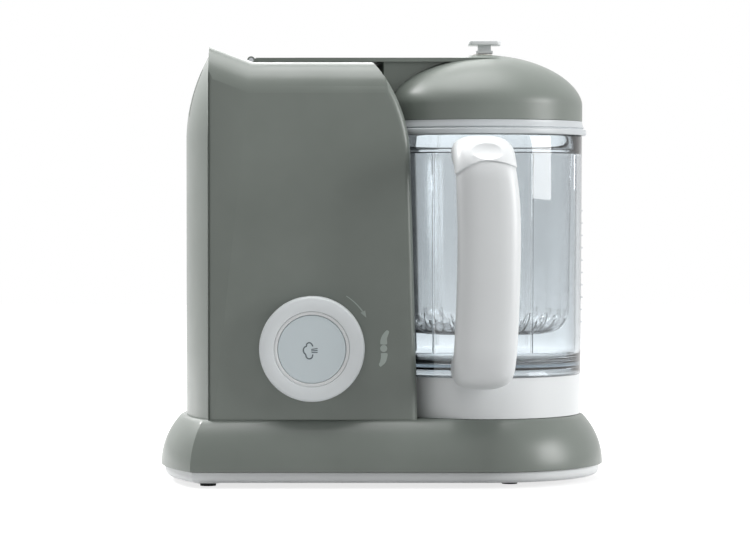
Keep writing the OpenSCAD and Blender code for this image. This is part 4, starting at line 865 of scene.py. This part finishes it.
def make_arm():
    arm = arm_solid("arm_cover_skin", 0, 255.3)
    cavity = arm_solid("arm_cavity", 2.4, 252)
    carve(cavity, slab("arm_front_only", [(-137.6, -32), (30, -32), (30, 32), (-137.6, 32)], "xy", 250, 275), "INTERSECT")
    carve(cavity, slab("pocket_wall", [(-17.5, -11.5), (13.5, -11.5), (13.5, 11.5), (-17.5, 11.5)], "xy", 264.4, 275))
    carve(arm, cavity)
    pocket = slab("pocket", [(-15.5, -8.9), (11.5, -8.9), (11.5, 8.9), (-15.5, 8.9)], "xy", 266.2, 275)
    round_edges(pocket, lambda a, b: abs(a.z - b.z) > 5, 3.2, 6)
    carve(arm, pocket)
    carve(arm, slab("stem_slot", [(-9.4, -2.9), (5.4, -2.9), (5.4, 2.9), (-9.4, 2.9)], "xy", 261, 268))
    dome_room = turned("dome_room", [(0, 250), (44.5, 250), (44.5, 252), (38, 255.8), (28, 258.6), (16, 260.5), (0, 261.3)])
    carve(arm, dome_room)
    carve(arm, slab("hinge_room", [(-147.5, 253), (-138.7, 253), (-138.7, 258.9), (-147.5, 258.9)], "xz", -32, 32))
    finish_piece(tidy(arm, 0.03), "lid", ARM_WHITE, ["arm_cover"])

    plate = [(-9, -8.5), (11, -8.5), (11, 8.5), (-9, 8.5)]
    slider = slab("lock_slider_skin", plate, "xy", 266.5, 269.1)
    round_edges(slider, lambda a, b: abs(a.z - b.z) > 2, 3.0, 8)
    round_sharp(slider, 0.4, 3, 50)
    for x in (-4.7, 1.0, 6.7):
        ridge = slab("ridge", arc(x, 268.95, 0.6, 0, 180, 8) + [(x - 0.6, 268.6), (x + 0.6, 268.6)], "xz", -5.5, 5.5)
        carve(slider, ridge, "UNION")
    carve(slider, slab("stem", [(-3, -2.5), (5, -2.5), (5, 2.5), (-3, 2.5)], "xy", 261.5, 266.6), "UNION")
    carve(slider, slab("hook", [(-4, -4.5), (6, -4.5), (6, 4.5), (-4, 4.5)], "xy", 261.5, 263.1), "UNION")
    finish_piece(slider, "lid_lock", WHITE, ["lock_button"])


# ---- knob and printed signs ----

KNOB_X, KNOB_Z, FRONT = -103.7, 83.0, -60.8


def ribbon(places, start_width, end_width=None):
    """The outline of a drawn stroke that may taper."""
    places = [Vector(p) for p in places]
    end_width = end_width or start_width
    left, right = [], []
    for i, p in enumerate(places):
        along = (places[min(i + 1, len(places) - 1)] - places[max(i - 1, 0)]).normalized()
        half = (start_width + (end_width - start_width) * i / (len(places) - 1)) / 2
        side = Vector((-along.y, along.x)) * half
        left.append(tuple(p + side))
        right.append(tuple(p - side))
    return left + right[::-1]


def softened(places, steps=4):
    """A smooth line through places."""
    ends = [places[0]] + list(places) + [places[-1]]
    line = []
    for i in range(1, len(ends) - 2):
        a, b, c, d = [Vector(p) for p in ends[i - 1:i + 3]]
        for j in range(steps):
            t = j / steps
            line.append(tuple(0.5 * (
                2 * b + (c - a) * t + (2 * a - 5 * b + 4 * c - d) * t**2 + (3 * b - a - 3 * c + d) * t**3
            )))
    return line + [tuple(places[-1])]


def print_on(name, outlines, reach, thickness=0.08):
    """Flat printed marks round the knob's centre, standing a hair proud of a face."""
    marks = [
        slab("mark", [(KNOB_X + x, KNOB_Z + z) for x, z in line], "xz", FRONT - reach - thickness,
             FRONT - reach + 0.1)
        for line in outlines
    ]
    return gather(name, marks)


def make_knob():
    face = 13.0
    rim = [(31.3, 1.1), (31.3, 9.6)] + arc(28.9, 10.4, 2.4, 0, 78, 8) + [(28.6, face - 0.15), (28.3, face)]
    ring = turned_front(
        "knob_ring_skin",
        [(3.3, -17.8), (6.0, -17.8), (6.0, 0.3), (30.7, 0.3)] + rim
        + [(23.0, face), (22.7, face - 0.1), (22.5, face - 0.35), (22.5, 2.7), (3.3, 2.7)],
        KNOB_X, KNOB_Z, FRONT,
    )
    finish_piece(ring, "knob", KNOB_WHITE, ["knob_ring"])
    light = turned_front(
        "knob_light_ring_skin",
        [(20.4, 2.7), (22.4, 2.7), (22.4, 12.2)] + arc(21.9, 12.2, 0.5, 0, 90, 5)
        + [(20.9, 12.7)] + arc(20.9, 12.2, 0.5, 90, 180, 5)[1:],
        KNOB_X, KNOB_Z, FRONT,
    )
    finish_piece(light, "knob", WHITE, ["knob_light_ring"])
    button = turned_front(
        "steam_button_skin",
        [(0, -14.4), (3.15, -14.4), (3.15, 10), (18.3, 10), (18.3, 6.4), (20.2, 6.4), (20.2, 11.8)]
        + arc(19.6, 11.8, 0.6, 0, 90, 5)[1:] + [(0, 12.4)],
        KNOB_X, KNOB_Z, FRONT, closed=False,
    )
    finish_piece(button, "button", BUTTON_BLUE, ["steam_button"])

    cloud = [
        (0.61, 1.70), (0.0, 3.03), (-0.91, 3.82), (-2.0, 3.82), (-3.03, 3.03), (-3.15, 1.82), (-4.12, 1.39),
        (-4.85, 0.30), (-4.97, -0.91), (-4.55, -2.12), (-3.64, -3.03), (-3.33, -4.24), (-2.61, -5.27),
        (-1.52, -5.64), (-0.30, -5.27), (0.36, -4.24), (0.61, -3.03),
    ]
    puffs = [[(-0.3, -0.12), (1.5, 0.2), (3.45, 0.48)], [(-0.3, -0.91), (1.5, -0.8), (3.45, -0.61)]]
    puffs += [[(-0.15, -1.82), (1.5, -1.85), (3.45, -1.82)]]
    strokes = [ribbon(softened(cloud), 0.75)] + [ribbon(line, 0.55) for line in puffs]
    sign = print_on("steam_sign", strokes, 12.4)
    finish_piece(sign, "button", SYMBOL_INK)

    sweep = arc(0, 0, 37.2, 57, 35, 16)
    head = [(32.2, 18.3), (28.8, 21.2), (31.5, 22.5)]
    hub = arc(42.6, -0.1, 2.1, 0, 351, 39)
    upper = [
        (40.6, 2.4), (40.6, 4.5), (41.5, 7.3), (43.0, 9.4), (44.2, 10.6), (45.2, 10.6), (45.8, 9.7), (45.2, 7.9),
        (44.5, 5.5), (44.4, 2.4),
    ]
    lower = [
        (40.9, -3.0), (40.9, -5.5), (40.3, -8.2), (39.7, -9.7), (40.6, -11.0), (41.8, -10.3), (43.6, -8.5),
        (44.5, -6.1), (44.7, -3.0),
    ]
    marks = [ribbon(sweep, 0.35, 0.75), head, hub]
    marks += [softened(upper + upper[:1])[:-1], softened(lower + lower[:1])[:-1]]
    finish_piece(print_on("front_signs", marks, 0.0), "base", INK, ["front_marks"])


make_tower()
make_base()
make_jug()
make_basket()
make_handle()
make_lid()
make_arm()
make_knob()
